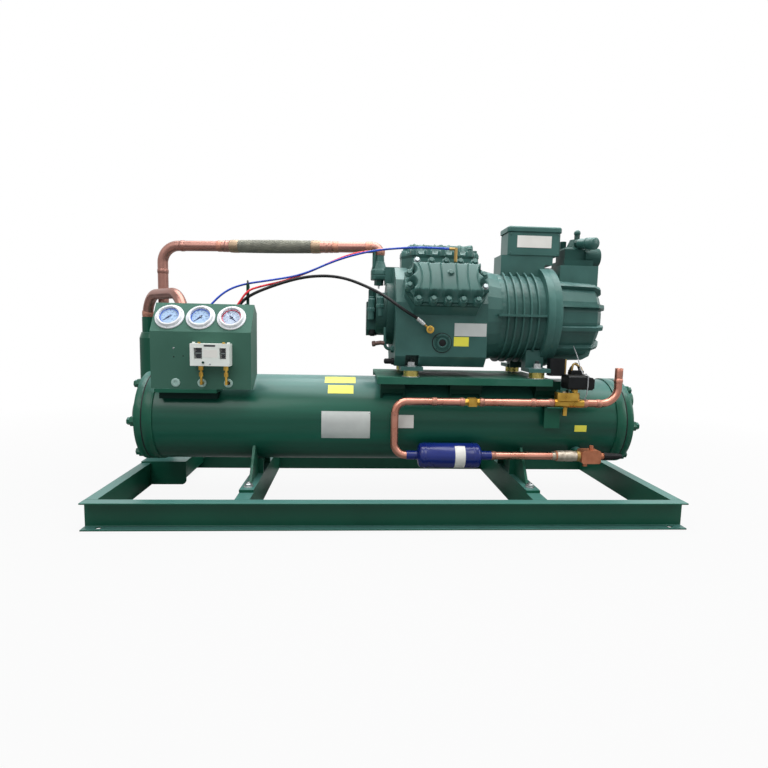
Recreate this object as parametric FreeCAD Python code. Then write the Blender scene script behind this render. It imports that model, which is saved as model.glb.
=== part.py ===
import FreeCAD, Part
import math
import os

os.makedirs("parts", exist_ok=True)
V = FreeCAD.Vector
X_AXIS = (1, 0, 0)
Y_AXIS = (0, 1, 0)
Z_AXIS = (0, 0, 1)
TO_LEFT = (-1, 0, 0)
TO_FRONT = (0, -1, 0)
DOWN = (0, 0, -1)

# Base frame: two long channels with the short ones butted between them, all open outwards
FRAME_LENGTH = 2000.0
FRAME_WIDTH = 800.0
FRAME_HEIGHT = 92.0
CHANNEL_FLANGE = 40.0
CHANNEL_WALL = 5.0
ANCHOR_HOLE_R = 9.0
ANCHOR_INSET_X = 50.0
ANCHOR_INSET_Y = 20.0
CROSS_MEMBER_X = 475.0
CROSS_MEMBER_FLANGE = 50.0

# Condenser: a pipe shell with a tube sheet, gasket and dished cover at each end
SHELL_R = 162.5
SHELL_WALL = 8.0
SHELL_AXIS_Z = 310.0
TUBE_SHEET_FACE_X = 891.0
TUBE_SHEET_THICK = 35.0
TUBE_SHEET_R = 167.0
GASKET_THICK = 4.0
GASKET_BORE_R = 128.0
COVER_RIM = 24.0
COVER_CROWN = 66.0
COVER_LUG = 38.0
COVER_LUG_FLATS = 34.0
COVER_BOLT_PCR = 147.0
COVER_BOLT_HEAD = 14.0
COVER_BOLTS = 6
WATER_PORT_R = 30.0
WATER_PORT_WALL = 9.0
WATER_PORT_OFFSET = 78.0
WATER_PORT_TIP_X = 982.0
TUBE_R = 12.5
TUBE_CIRCLE_R = 84.0
TUBES = 6
GAS_INLET_X = -789.0
GAS_INLET_R = 30.0
GAS_INLET_TOP_Z = 502.0
LIQUID_OUTLET_X = 712.0
LIQUID_OUTLET_R = 22.0

# Saddles carry the shell, and are bolted to the cross members
SADDLE_PLATE = 10.0
SADDLE_FOOT_HALF = 290.0
SADDLE_SHOULDER_HALF = 135.0
SADDLE_TOP_Z = 225.0
SADDLE_BOLT_Y = 250.0

# Compressor deck, its supports and the spacers under the feet
DECK_LEFT_X = -55.0
DECK_RIGHT_X = 591.0
DECK_HALF = 185.0
DECK_TOP_Z = 486.0
DECK_PLATE = 10.0
DECK_LIP_Z = 460.0
DECK_SUPPORT_HALF = 150.0
DECK_SUPPORT_X = (-40.0, 217.0, 540.0)
DECK_SUPPORT_LENGTH = (90.0, 120.0, 94.0)
SPACER_HEIGHT = 24.0
SPACER_R = 28.0
FOOT_X = (70.0, 540.0)
FOOT_Y = 150.0
FOOT_THICK = 14.0
FOOT_HALF_X = 40.0
FOOT_WEB_HALF_X = 34.0
FOOT_POCKET = (24.0, 42.0)
WASHER_R = 20.0
WASHER_THICK = 4.0

# Compressor, measured from its crank axis
CRANK_Z = 715.0
CASE_LEFT_X = 8.0
BEARING_FLANGE = 27.0
DISCHARGE_FACE_X = CASE_LEFT_X - BEARING_FLANGE
CASE_RIGHT_X = 340.0
CASE_HALF = 178.0
CASE_BORE_R = 100.0
CASE_END_WALL = 12.0
BANK_LEFT_X = 36.0
BANK_RIGHT_X = 330.0
BANK_HALF = 92.0
BANK_DECK = 206.0
BANK_ANGLES = (60.0, 0.0, -60.0)
VALVE_PLATE = 10.0
THROW_OFFSET = 68.0
HEAD_FLANGE = 12.0
HEAD_HEIGHT = 46.0
HEAD_RIB = 4.0
HEAD_BOLT_STEP = 52.0
HEAD_BOLT_ROW = 80.0
HEAD_BOLT_END = 133.0
HEAD_BOSS_FLATS = 26.0
HEAD_BOSS_HEIGHT = 36.0
HEAD_BOLT_FLATS = 17.0
MOTOR_R = 164.0
MOTOR_BORE_R = 146.0
MOTOR_FIN_R = 177.0
MOTOR_FINS = 5
FIN_FIRST_X = 415.0
FIN_STEP = 28.0
FIN_THICK = 6.0
MOTOR_END_X = 560.0
FLANGE_R = 192.0
FLANGE_THICK = 26.0
END_COVER_TIP_X = 786.0
END_COVER_WALL = 14.0
END_COVER_RIBS = 12
END_COVER_RIB = 14.0
END_COVER_CROWN = 26.0
SHAFT_R = 24.0
SHAFT_CLEARANCE = 0.05
SHAFT_LEFT_X = -50.0
SHAFT_RIGHT_X = 600.0
CRANK_THROW = 27.0
CRANK_PIN_R = 26.0
ROTOR_R = 80.0
ROTOR_LENGTH = 150.0
AIR_GAP = 1.0
SIGHT_X = 176.0
SIGHT_Z = 612.0
SUCTION_PAD_Z = 912.0

# Terminal box on the motor housing
TERMINAL_BOX = (436.0, 638.0, -64.0, 44.0, 946.0, 1032.0)
TERMINAL_NECK = (412.0, 582.0, -60.0, 40.0)
TERMINAL_PLATE = (412.0, 612.0, 912.0)
TERMINAL_LID = 22.0

# Service valves
STEM_R = 6.0
STEM_CLEARANCE = 0.05
STEM_SQUARE = 7.0
DISCHARGE_VALVE_X = -42.0
DISCHARGE_VALVE_Y = 100.0
DISCHARGE_VALVE_HALF = 34.0
DISCHARGE_VALVE_LEFT_X = -75.0
DISCHARGE_BLOCK_LOW_Z = 853.0
DISCHARGE_BLOCK_TOP_Z = 902.0
DISCHARGE_VALVE_TOP_Z = 950.0
SUCTION_VALVE_X = 712.0
SUCTION_BASE_HALF = 56.0
SUCTION_BASE_THICK = 22.0
SUCTION_TOWER_TOP_Z = 986.0
SUCTION_STEM_ROOT = (712.0, -34.0, 1000.0)
SUCTION_STEM_SHOULDER = (733.0, -81.3, 993.7)
SUCTION_CAP_LENGTH = 42.0
SUCTION_PORT_R = 27.0
SUCTION_PORT_Y = -25.0
SUCTION_PORT_Z = 949.0
SUCTION_PORT_TIP_X = 801.0
LIQUID_VALVE = (700.0, 772.0, -224.0, -176.0, 181.0, 229.0)

# Every pipe and hose is a many-sided bar of the round one's size
PIPE_SIDES = 16
HOSE_SIDES = 8

# Discharge line, with a flexible eliminator let into its straight run
DISCHARGE_PIPE_R = 21.0
DISCHARGE_AXIS_Z = 982.0
DISCHARGE_ELBOW_R = 26.0
DISCHARGE_BEND_R = 70.0
ELIMINATOR_START = 189.0
ELIMINATOR_LENGTH = 479.0
ELIMINATOR_SLEEVES = (49.0, 86.0)
ELIMINATOR_SLEEVE_R = 23.0
ELIMINATOR_BRAID_R = 25.5

# Oil separator behind the condenser's left end
SEPARATOR_X = 25.0 - FRAME_LENGTH / 2.0
SEPARATOR_Y = 238.0
SEPARATOR_R = 66.0
SEPARATOR_PLATE = 6.0
SEPARATOR_BASE_LENGTH = 178.0
SEPARATOR_BASE_FRONT_Y = 98.0
SEPARATOR_BOTTOM_Z = FRAME_HEIGHT + SEPARATOR_PLATE + 8.0
SEPARATOR_TOP_Z = 622.0
SEPARATOR_DOME = 24.0
SEPARATOR_PORT = 33.0
SEPARATOR_NECK_R = 24.0
SEPARATOR_INLET_Z = 640.0
SEPARATOR_OUTLET_Z = 685.0
ARCH_AXIS_Z = 778.0
ARCH_BEND_R = 90.0

# Liquid line along the condenser's front
LIQUID_PIPE_R = 14.0
LIQUID_PIPE_BORE = 12.5
LIQUID_Y = -200.0
LIQUID_LOW_Z = 205.0
LIQUID_HIGH_Z = 402.0
LIQUID_LEFT_X = 10.0
LIQUID_BEND_R = 45.0
DRIER_R = 45.0
DRIER_LEFT_X = 97.0
DRIER_RIGHT_X = 325.0
DRIER_STUB = 42.0
INDICATOR_LEFT_X = 261.0
INDICATOR_RIGHT_X = 317.0
SOLENOID_LEFT_X = 591.0
SOLENOID_RIGHT_X = 699.0
COUPLING_LEFT_X = 608.0
OUTLET_X = 829.0
OUTLET_TOP_Z = 533.0
OUTLET_BEND_R = 60.0
OUTLET_BORE_DEPTH = 30.0

# Gauge panel
PANEL_LEFT_X = -845.0
PANEL_RIGHT_X = -500.0
PANEL_FACE_Y = -190.0
PANEL_BOTTOM_Z = 434.0
PANEL_FOLD_Z = 634.0
PANEL_SHEET = 3.0
PANEL_TILT = 35.0
PANEL_SLOPE = 122.0
PANEL_SIDE_DEPTH = 120.0
PANEL_SHELF = 40.0
GAUGE_FIRST_X = -787.0
GAUGE_STEP = 107.0
GAUGES = 3
GAUGE_UP_SLOPE = 60.0
GAUGE_FLANGE_R = 50.0
GAUGE_FLANGE = 3.0
GAUGE_BEZEL_R = 41.0
GAUGE_BEZEL = 12.0
GAUGE_DIAL_R = 34.0
GAUGE_DIAL = 4.0
GAUGE_CASE_R = 36.0
GAUGE_CASE_DEPTH = 30.0
GAUGE_PIN_R = 1.5
GAUGE_LENS = 1.5
NEEDLE_CLEARANCE = 0.05

# Dual pressure control on the panel
CONTROL = (-697.0, -565.0, -234.0, PANEL_FACE_Y, 519.0, 595.0)
CONTROL_WINDOWS = ((-684.0, -656.0), (-598.0, -576.0))
CONTROL_WINDOW_Z = (543.0, 581.0)
CONTROL_WINDOW_DEPTH = 9.0
SCREW_R = 3.0
SCREW_DEPTH = 12.0
SCREW_INSET = 17.0
SCREW_FLATS = 9.0
POINTER_HEIGHT = 4.0
SLIDE_CLEARANCE = 0.1
BUTTON_X = -653.0
BUTTON_Z = 531.0
BUTTON_R = 4.0
BUTTON_PROUD = 4.0
BUTTON_DEPTH = 10.0
BUTTON_TRAVEL = 3.0
CONTROL_PIPE_X = (-666.0, -581.0)
CONTROL_PIPE_R = 4.5
CONTROL_PIPE_Z = 456.0

# Gauge hoses
THIN_HOSE_R = 3.8
THICK_HOSE_R = 5.5
HOSE_ELBOW = 16.0
HOSE_NIPPLE = 30.0
BLUE_HOSE = [(-757.0, -118.8, 657.3), (-712.0, -103.0, 667.0), (-665.0, -85.0, 731.0),
             (-618.0, -58.0, 784.0), (-556.0, -45.0, 812.0), (-450.0, -48.0, 829.0),
             (-335.0, -58.0, 850.0), (-205.0, -80.0, 908.0), (-80.0, -108.0, 940.0),
             (45.0, -145.0, 949.0), (130.0, -173.0, 947.0), (190.0, -183.0, 943.0)]
RED_HOSE = [(-650.0, -118.8, 657.3), (-608.0, -104.0, 668.0), (-563.0, -98.0, 734.0),
            (-533.0, -80.0, 786.0), (-496.0, -55.0, 803.0), (-400.0, -40.0, 828.0),
            (-300.0, -40.0, 868.0), (-190.0, -8.0, 926.0), (-125.0, 20.0, 950.0), (-88.0, 48.0, 958.0)]
BLACK_HOSE = [(-573.0, -101.6, 681.9), (-573.0, -71.8, 724.5), (-532.0, -68.0, 768.0),
              (-453.0, -62.0, 804.0), (-343.0, -66.0, 840.0), (-250.0, -80.0, 849.0),
              (-176.0, -108.0, 839.0), (-104.0, -146.0, 811.0), (-34.0, -192.0, 774.0),
              (35.0, -222.0, 722.0), (79.0, -215.0, 698.0)]
BANJO = (129.0, -200.0, 659.0)
HEAD_PORT = (214.0, -183.0, 943.0)
VALVE_PORT = (-64.0, 76.0, 962.0)


def box(x0, x1, y0, y1, z0, z1):
    return Part.makeBox(x1 - x0, y1 - y0, z1 - z0, V(x0, y0, z0))


def cylinder(start, axis, radius, length):
    return Part.makeCylinder(radius, length, V(*start), V(*axis))


def rod(start, end, radius):
    """A cylinder between two points."""
    along = V(*end) - V(*start)
    return Part.makeCylinder(radius, along.Length, V(*start), along)


def bar(start, end, radius):
    """A many-sided bar between two points."""
    along = V(*end) - V(*start)
    return barrel(start, tuple(along), radius, along.Length)


def ring(start, axis, outer, inner, length):
    return cylinder(start, axis, outer, length).cut(cylinder(start, axis, inner, length))


def cone(start, axis, radius, end_radius, length):
    return Part.makeCone(radius, end_radius, length, V(*start), V(*axis))


def prism(points, direction):
    corners = [V(*p) for p in points]
    return Part.Face(Part.makePolygon(corners + corners[:1])).extrude(V(*direction))


def polygon(radius, sides):
    """A closed regular polygon about the Z axis."""
    corners = []
    for i in range(sides):
        turn = math.radians(360.0 * (i + 0.5) / sides)
        corners.append(V(radius * math.cos(turn), radius * math.sin(turn), 0.0))
    return Part.makePolygon(corners + corners[:1])


def barrel(start, axis, radius, length, sides=12):
    """A prism with many sides, for small round pieces."""
    solid = Part.Face(polygon(radius, sides)).extrude(V(0, 0, length))
    solid.Placement = FreeCAD.Placement(V(*start), FreeCAD.Rotation(V(0, 0, 1), V(*axis)))
    return solid


def hexagon(start, axis, across_flats, length):
    return barrel(start, axis, across_flats / math.sqrt(3.0), length, 6)


def taper(start, axis, radius, end_radius, length, sides=12):
    """A tapering prism with many sides."""
    near = [v.Point for v in polygon(radius, sides).OrderedVertexes]
    far = [V(p.x * end_radius / radius, p.y * end_radius / radius, length) for p in near]
    faces = [Part.Face(Part.makePolygon(near + near[:1])), Part.Face(Part.makePolygon(far + far[:1]))]
    for i in range(sides):
        j = (i + 1) % sides
        faces.append(Part.Face(Part.makePolygon([near[i], near[j], far[j], far[i], near[i]])))
    solid = Part.Solid(Part.Shell(faces))
    solid.Placement = FreeCAD.Placement(V(*start), FreeCAD.Rotation(V(0, 0, 1), V(*axis)))
    return solid


def joined(solids):
    return solids[0].fuse(solids[1:]).removeSplitter()


def moved(solid, x, y, z):
    copy = solid.copy()
    copy.translate(V(x, y, z))
    return copy


def both_ends(solid):
    """The right-hand piece and its mirror image at the left end."""
    return [solid, solid.mirror(V(0, 0, 0), V(1, 0, 0))]


def route(points, bend_radius):
    """A wire of straight runs joined by tangent arcs, with one bend radius or a rule for each corner."""
    corners = [V(*p) for p in points]
    edges = []
    here = corners[0]
    for i in range(1, len(corners) - 1):
        before = corners[i] - corners[i - 1]
        after = corners[i + 1] - corners[i]
        turn = before.getAngle(after)
        if bend_radius is None:
            reach = 0.45 * min(before.Length, after.Length)
            print("bend radius", round(reach / math.tan(turn / 2.0), 1))
        else:
            reach = bend_radius * math.tan(turn / 2.0)
        before.normalize()
        after.normalize()
        first = corners[i] - before * reach
        last = corners[i] + after * reach
        inward = (after - before).normalize()
        radius = reach / math.tan(turn / 2.0)
        middle = corners[i] + inward * (radius / math.cos(turn / 2.0) - radius)
        edges.append(Part.LineSegment(here, first).toShape())
        edges.append(Part.Arc(first, middle, last).toShape())
        here = last
    edges.append(Part.LineSegment(here, corners[-1]).toShape())
    return Part.Wire(edges)


def tube(points, bend_radius, radius, sides):
    """A many-sided bar along a route."""
    wire = route(points, bend_radius)
    start = V(*points[0])
    outline = polygon(radius, sides)
    outline.Placement = FreeCAD.Placement(start, FreeCAD.Rotation(V(0, 0, 1), V(*points[1]) - start))
    section = Part.Face(outline)
    solid = wire.makePipe(section)
    print("length", round(wire.Length, 1), "volume ratio", round(solid.Volume / (section.Area * wire.Length), 4))
    return solid


def about_crank(solid, angle):
    """A copy turned about the crank axis, from straight up towards the front."""
    copy = solid.copy()
    copy.rotate(V(0, 0, CRANK_Z), V(1, 0, 0), angle)
    return copy


def on_slope(solid):
    """A piece built on the panel's upright front, turned back about the fold onto the slope."""
    copy = solid.copy()
    copy.rotate(V(0, PANEL_FACE_Y, PANEL_FOLD_Z), V(1, 0, 0), -PANEL_TILT)
    return copy


def save(node, shape):
    solid = shape.removeSplitter() if len(shape.Solids) == 1 else shape
    if not solid.isValid() or not solid.Solids:
        raise ValueError(node + " is not a valid solid")
    solid.exportStep("parts/" + node + ".step")
    print(node, len(solid.Solids), round(solid.Volume / 1000.0, 1))


def save_group(node, solids):
    save(node, Part.makeCompound(solids))


def channel(length, height, flange, wall):
    """A channel along X that opens to -Y, its flange tips at Y 0 and its web behind."""
    outside = box(-length / 2.0, length / 2.0, 0, flange, 0, height)
    return outside.cut(box(-length, length, -1.0, flange - wall, wall, height - wall))


def base_frame():
    front = channel(FRAME_LENGTH, FRAME_HEIGHT, CHANNEL_FLANGE, CHANNEL_WALL)
    front.translate(V(0, -FRAME_WIDTH / 2.0, 0))
    hole_x = FRAME_LENGTH / 2.0 - ANCHOR_INSET_X
    hole_y = ANCHOR_INSET_Y - FRAME_WIDTH / 2.0
    for x in (-hole_x, hole_x):
        hole = cylinder((x, hole_y, -1.0), Z_AXIS, ANCHOR_HOLE_R, CHANNEL_WALL + 2.0)
        front = front.cut(hole)
    rear = front.copy()
    rear.rotate(V(0, 0, 0), V(0, 0, 1), 180)
    save_group("base_long_channels", [front, rear])

    inside = FRAME_WIDTH - 2.0 * CHANNEL_FLANGE
    left = channel(inside, FRAME_HEIGHT, CHANNEL_FLANGE, CHANNEL_WALL)
    left.rotate(V(0, 0, 0), V(0, 0, 1), -90)
    left.translate(V(-FRAME_LENGTH / 2.0, 0, 0))
    right = left.copy()
    right.rotate(V(0, 0, 0), V(0, 0, 1), 180)
    member = channel(inside, FRAME_HEIGHT, CROSS_MEMBER_FLANGE, CHANNEL_WALL)
    member.rotate(V(0, 0, 0), V(0, 0, 1), -90)
    member.translate(V(-CROSS_MEMBER_X - CROSS_MEMBER_FLANGE, 0, 0))
    other = member.copy()
    other.rotate(V(0, 0, 0), V(0, 0, 1), 180)
    save_group("base_cross_channels", [left, right, member, other])


def separator_base():
    """A folded plate on the frame's left end, its front turned down inside the frame."""
    left = -FRAME_LENGTH / 2.0 + 2.0
    right = left + SEPARATOR_BASE_LENGTH
    front = SEPARATOR_BASE_FRONT_Y
    plate = box(left, right, front, FRAME_WIDTH / 2.0 - 5.0, FRAME_HEIGHT, FRAME_HEIGHT + SEPARATOR_PLATE)
    inside_left = -FRAME_LENGTH / 2.0 + CHANNEL_FLANGE
    apron = box(inside_left, right, front, front + SEPARATOR_PLATE, 2.0, FRAME_HEIGHT)
    corner = [e for e in apron.Edges if e.BoundBox.YLength > 1.0 and e.BoundBox.ZMax < 3.0]
    corner = [e for e in corner if e.BoundBox.XMin > right - 1.0]
    apron = apron.makeFillet(18.0, corner)
    side = box(right - SEPARATOR_PLATE, right, front, FRAME_WIDTH / 2.0 - CHANNEL_FLANGE, 30.0, FRAME_HEIGHT)
    save("separator_base", joined([plate, apron, side]))


def saddles():
    """Foot plates with an upright plate cut to the shell and hollowed sides."""
    foot_z = FRAME_HEIGHT + SADDLE_PLATE
    half = CROSS_MEMBER_FLANGE / 2.0
    foot = box(-half, half, -SADDLE_FOOT_HALF, SADDLE_FOOT_HALF, FRAME_HEIGHT, foot_z)
    upright = prism([(-SADDLE_PLATE / 2.0, -SADDLE_FOOT_HALF + 65.0, foot_z),
                     (-SADDLE_PLATE / 2.0, SADDLE_FOOT_HALF - 65.0, foot_z),
                     (-SADDLE_PLATE / 2.0, SADDLE_SHOULDER_HALF, SADDLE_TOP_Z),
                     (-SADDLE_PLATE / 2.0, -SADDLE_SHOULDER_HALF, SADDLE_TOP_Z)], (SADDLE_PLATE, 0, 0))
    for side in (-1.0, 1.0):
        upright = upright.cut(cylinder((-20.0, side * 262.0, SADDLE_TOP_Z + 2.0), X_AXIS, 105.0, 40.0))
    ribs = [box(-half, half, y - 5.0, y + 5.0, foot_z, 160.0) for y in (-80.0, 80.0)]
    drum = cylinder((-CROSS_MEMBER_FLANGE, 0, SHELL_AXIS_Z), X_AXIS, SHELL_R, 2.0 * CROSS_MEMBER_FLANGE)
    saddle = joined([foot, upright] + ribs).cut(drum)
    pair = []
    bolts = []
    for x in (-CROSS_MEMBER_X - half, CROSS_MEMBER_X + half):
        pair.append(moved(saddle, x, 0, 0))
        for y in (-SADDLE_BOLT_Y, SADDLE_BOLT_Y):
            bolts.append(hexagon((x, y, foot_z), Z_AXIS, 24.0, 12.0))
    save_group("condenser_saddles", pair)
    return bolts


def around_axis(radius, count):
    """Y and Z of pieces evenly spaced about the condenser's axis, the first at the front."""
    centres = []
    for i in range(count):
        turn = math.radians(360.0 * i / count)
        centres.append((-radius * math.cos(turn), SHELL_AXIS_Z + radius * math.sin(turn)))
    return centres


def condenser():
    half = TUBE_SHEET_FACE_X - TUBE_SHEET_THICK
    shell = cylinder((-half, 0, SHELL_AXIS_Z), X_AXIS, SHELL_R, 2.0 * half)
    inlet = cylinder((GAS_INLET_X, 0, SHELL_AXIS_Z), Z_AXIS, GAS_INLET_R, GAS_INLET_TOP_Z - SHELL_AXIS_Z)
    outlet = cylinder((LIQUID_OUTLET_X, LIQUID_VALVE[3], LIQUID_LOW_Z), Y_AXIS, LIQUID_OUTLET_R, 100.0)
    shell = joined([shell, inlet, outlet])
    shell = shell.cut(cylinder((-half, 0, SHELL_AXIS_Z), X_AXIS, SHELL_R - SHELL_WALL, 2.0 * half))
    save("condenser_shell", shell)

    sheet = cylinder((half, 0, SHELL_AXIS_Z), X_AXIS, TUBE_SHEET_R, TUBE_SHEET_THICK)
    save_group("tube_sheets", both_ends(sheet))

    tubes = [cylinder((-half, y, z), X_AXIS, TUBE_R, 2.0 * half) for y, z in around_axis(TUBE_CIRCLE_R, TUBES)]
    save_group("condenser_tubes", tubes)

    gasket = ring((TUBE_SHEET_FACE_X, 0, SHELL_AXIS_Z), X_AXIS, TUBE_SHEET_R, GASKET_BORE_R, GASKET_THICK)
    save_group("cover_gaskets", both_ends(gasket))

    seat = TUBE_SHEET_FACE_X + GASKET_THICK
    rim = cylinder((seat, 0, SHELL_AXIS_Z), X_AXIS, TUBE_SHEET_R, COVER_RIM)
    dish = cone((seat + COVER_RIM, 0, SHELL_AXIS_Z), X_AXIS, TUBE_SHEET_R - 7.0, 70.0, COVER_CROWN - COVER_RIM)
    lugs = []
    for y, z in around_axis(COVER_BOLT_PCR, COVER_BOLTS):
        lugs.append(hexagon((seat, y, z), X_AXIS, COVER_LUG_FLATS, COVER_LUG))
    recess = cylinder((seat, 0, SHELL_AXIS_Z), X_AXIS, GASKET_BORE_R, COVER_RIM - 8.0)
    left = joined([rim, dish] + lugs).cut(recess)
    right = left.copy()
    left = left.mirror(V(0, 0, 0), V(1, 0, 0))
    port_base = seat + COVER_RIM
    ports = []
    bores = []
    for z in (SHELL_AXIS_Z - WATER_PORT_OFFSET, SHELL_AXIS_Z + WATER_PORT_OFFSET):
        ports.append(cylinder((port_base, 0, z), X_AXIS, WATER_PORT_R + WATER_PORT_WALL,
                              WATER_PORT_TIP_X - port_base))
        bores.append(cylinder((seat, 0, z), X_AXIS, WATER_PORT_R, WATER_PORT_TIP_X - seat))
    divider = box(seat, seat + COVER_RIM, -120.0, 120.0, SHELL_AXIS_Z - 5.0, SHELL_AXIS_Z + 5.0)
    right = joined([right, divider] + ports).cut(bores)
    save_group("end_covers", [left, right])

    bolts = []
    for y, z in around_axis(COVER_BOLT_PCR, COVER_BOLTS):
        bolts.extend(both_ends(hexagon((seat + COVER_LUG, y, z), X_AXIS, 24.0, COVER_BOLT_HEAD)))
    return bolts


def foot_centres():
    return [(x, y) for x in FOOT_X for y in (-FOOT_Y, FOOT_Y)]


def deck():
    under = DECK_TOP_Z - DECK_PLATE
    plates = [box(DECK_LEFT_X, DECK_RIGHT_X, -DECK_HALF, DECK_HALF, under, DECK_TOP_Z)]
    for y in (-DECK_HALF, DECK_HALF - DECK_PLATE):
        plates.append(box(DECK_LEFT_X, DECK_RIGHT_X, y, y + DECK_PLATE, DECK_LIP_Z, DECK_TOP_Z))
    save("compressor_deck", joined(plates))

    supports = []
    drum = cylinder((DECK_LEFT_X, 0, SHELL_AXIS_Z), X_AXIS, SHELL_R, DECK_RIGHT_X + SHELL_R - DECK_LEFT_X)
    outer = DECK_SUPPORT_HALF
    inner = DECK_SUPPORT_HALF - 24.0
    shoulder_z = under - 36.0
    low_z = under - 91.0
    for x, length in zip(DECK_SUPPORT_X, DECK_SUPPORT_LENGTH):
        outline = [(x, -outer, under), (x, -outer, shoulder_z), (x, -inner, low_z),
                   (x, inner, low_z), (x, outer, shoulder_z), (x, outer, under)]
        block = prism(outline, (length, 0, 0))
        pocket = box(x + 8.0, x + length - 8.0, -outer + 8.0, outer - 8.0, low_z - 5.0, under)
        supports.append(block.cut([pocket, drum]))
    save_group("deck_supports", supports)

    spacers = []
    bolts = []
    foot_top = DECK_TOP_Z + SPACER_HEIGHT + FOOT_THICK
    for x, y in foot_centres():
        spacers.append(cylinder((x, y, DECK_TOP_Z), Z_AXIS, SPACER_R, SPACER_HEIGHT))
        bolts.append(barrel((x, y, foot_top), Z_AXIS, WASHER_R, WASHER_THICK))
        bolts.append(hexagon((x, y, foot_top + WASHER_THICK), Z_AXIS, 24.0, 14.0))
    save_group("compressor_mounts", spacers)
    return bolts


def compressor_body():
    """Crankcase with three cylinder banks in a W, a necked motor housing with fins, and feet."""
    bottom = DECK_TOP_Z + SPACER_HEIGHT
    length = CASE_RIGHT_X - CASE_LEFT_X
    outline = [(-CASE_HALF + 34.0, bottom + 14.0), (CASE_HALF - 34.0, bottom + 14.0),
               (CASE_HALF, bottom + 52.0), (CASE_HALF, CRANK_Z + 40.0), (136.0, CRANK_Z + 122.0),
               (60.0, CRANK_Z + 172.0), (-60.0, CRANK_Z + 172.0), (-136.0, CRANK_Z + 122.0),
               (-CASE_HALF, CRANK_Z + 40.0), (-CASE_HALF, bottom + 52.0)]
    case = prism([(CASE_LEFT_X, y, z) for y, z in outline], (length, 0, 0))
    bank = prism(bank_outline(CRANK_Z), (0, 0, BANK_DECK))
    solids = [case] + [about_crank(bank, angle) for angle in BANK_ANGLES]
    solids.append(taper((CASE_RIGHT_X, 0, CRANK_Z), X_AXIS, CASE_HALF, MOTOR_R, 60.0, 24))
    solids.append(cylinder((CASE_RIGHT_X + 56.0, 0, CRANK_Z), X_AXIS, MOTOR_R, MOTOR_END_X - CASE_RIGHT_X - 56.0))
    solids.append(cylinder((MOTOR_END_X, 0, CRANK_Z), X_AXIS, FLANGE_R, FLANGE_THICK))
    for i in range(MOTOR_FINS):
        solids.append(cylinder((FIN_FIRST_X + FIN_STEP * i, 0, CRANK_Z), X_AXIS, MOTOR_FIN_R, FIN_THICK))
    for side in (-1.0, 1.0):
        y0, y1 = sorted((side * (MOTOR_R - 10.0), side * (MOTOR_FIN_R + 6.0)))
        solids.append(box(CASE_RIGHT_X + 40.0, MOTOR_END_X, y0, y1, CRANK_Z - 3.0, CRANK_Z + 5.0))
    x0, x1, y0, y1 = TERMINAL_NECK
    plate_x0, plate_x1, plate_z = TERMINAL_PLATE
    solids.append(box(x0, x1, y0, y1, CRANK_Z + 100.0, plate_z))
    solids.append(box(plate_x0, plate_x1, y0, y1, plate_z, TERMINAL_BOX[4]))
    boss_half = DISCHARGE_VALVE_HALF + 4.0
    solids.append(box(DISCHARGE_FACE_X, BANK_LEFT_X, DISCHARGE_VALVE_Y - boss_half, DISCHARGE_VALVE_Y + boss_half,
                      CRANK_Z + 120.0, DISCHARGE_BLOCK_TOP_Z))
    for x in FOOT_X:
        for side in (-1.0, 1.0):
            y0, y1 = sorted((side * 90.0, side * (FOOT_Y + 34.0)))
            solids.append(box(x - FOOT_HALF_X, x + FOOT_HALF_X, y0, y1, bottom, bottom + FOOT_THICK))
            y0, y1 = sorted((side * 70.0, side * 118.0))
            solids.append(box(x - FOOT_WEB_HALF_X, x + FOOT_WEB_HALF_X, y0, y1, bottom, bottom + 80.0))
    body = joined(solids)
    wall_left = CASE_RIGHT_X - CASE_END_WALL
    cavity = barrel((CASE_LEFT_X, 0, CRANK_Z), X_AXIS, CASE_BORE_R, wall_left - CASE_LEFT_X)
    motor_bore = cylinder((CASE_RIGHT_X, 0, CRANK_Z), X_AXIS, MOTOR_BORE_R, MOTOR_END_X + FLANGE_THICK - CASE_RIGHT_X)
    shaft_hole = cylinder((wall_left, 0, CRANK_Z), X_AXIS, SHAFT_R + SHAFT_CLEARANCE, CASE_END_WALL)
    half, high = FOOT_POCKET
    foot_top = bottom + FOOT_THICK
    pockets = []
    for side in (-1.0, 1.0):
        y0, y1 = sorted((side * (FOOT_Y - half), side * (CASE_HALF + 20.0)))
        pockets.append(box(FOOT_X[0] - half, FOOT_X[0] + half, y0, y1, foot_top, foot_top + high))
    save("compressor_body", body.cut([cavity, motor_bore, shaft_hole] + pockets))


def head_bolt_places():
    """X along the head and Y across it for every head bolt round the edge, from the head's centre."""
    places = []
    for i in range(-2, 3):
        for side in (-1.0, 1.0):
            places.append((i * HEAD_BOLT_STEP, side * HEAD_BOLT_ROW))
    for end in (-1.0, 1.0):
        for side in (-0.5, 0.5):
            places.append((end * HEAD_BOLT_END, side * HEAD_BOLT_STEP))
    return places


def eight_sided(half_x, half_y, cut_x, cut_y, z):
    """Corners of a rectangle with its corners cut off, about the middle of a bank."""
    middle = (BANK_LEFT_X + BANK_RIGHT_X) / 2.0
    quarter = [(half_x, half_y - cut_y), (half_x - cut_x, half_y)]
    corners = [(x, y) for x, y in quarter]
    corners += [(-x, y) for x, y in reversed(quarter)]
    corners += [(-x, -y) for x, y in quarter]
    corners += [(x, -y) for x, y in reversed(quarter)]
    return [(middle + x, y, z) for x, y in corners]


def bank_outline(z):
    """Outline of a bank, its valve plate and its head's flange."""
    return eight_sided((BANK_RIGHT_X - BANK_LEFT_X) / 2.0, BANK_HALF, 34.0, 58.0, z)


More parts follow.
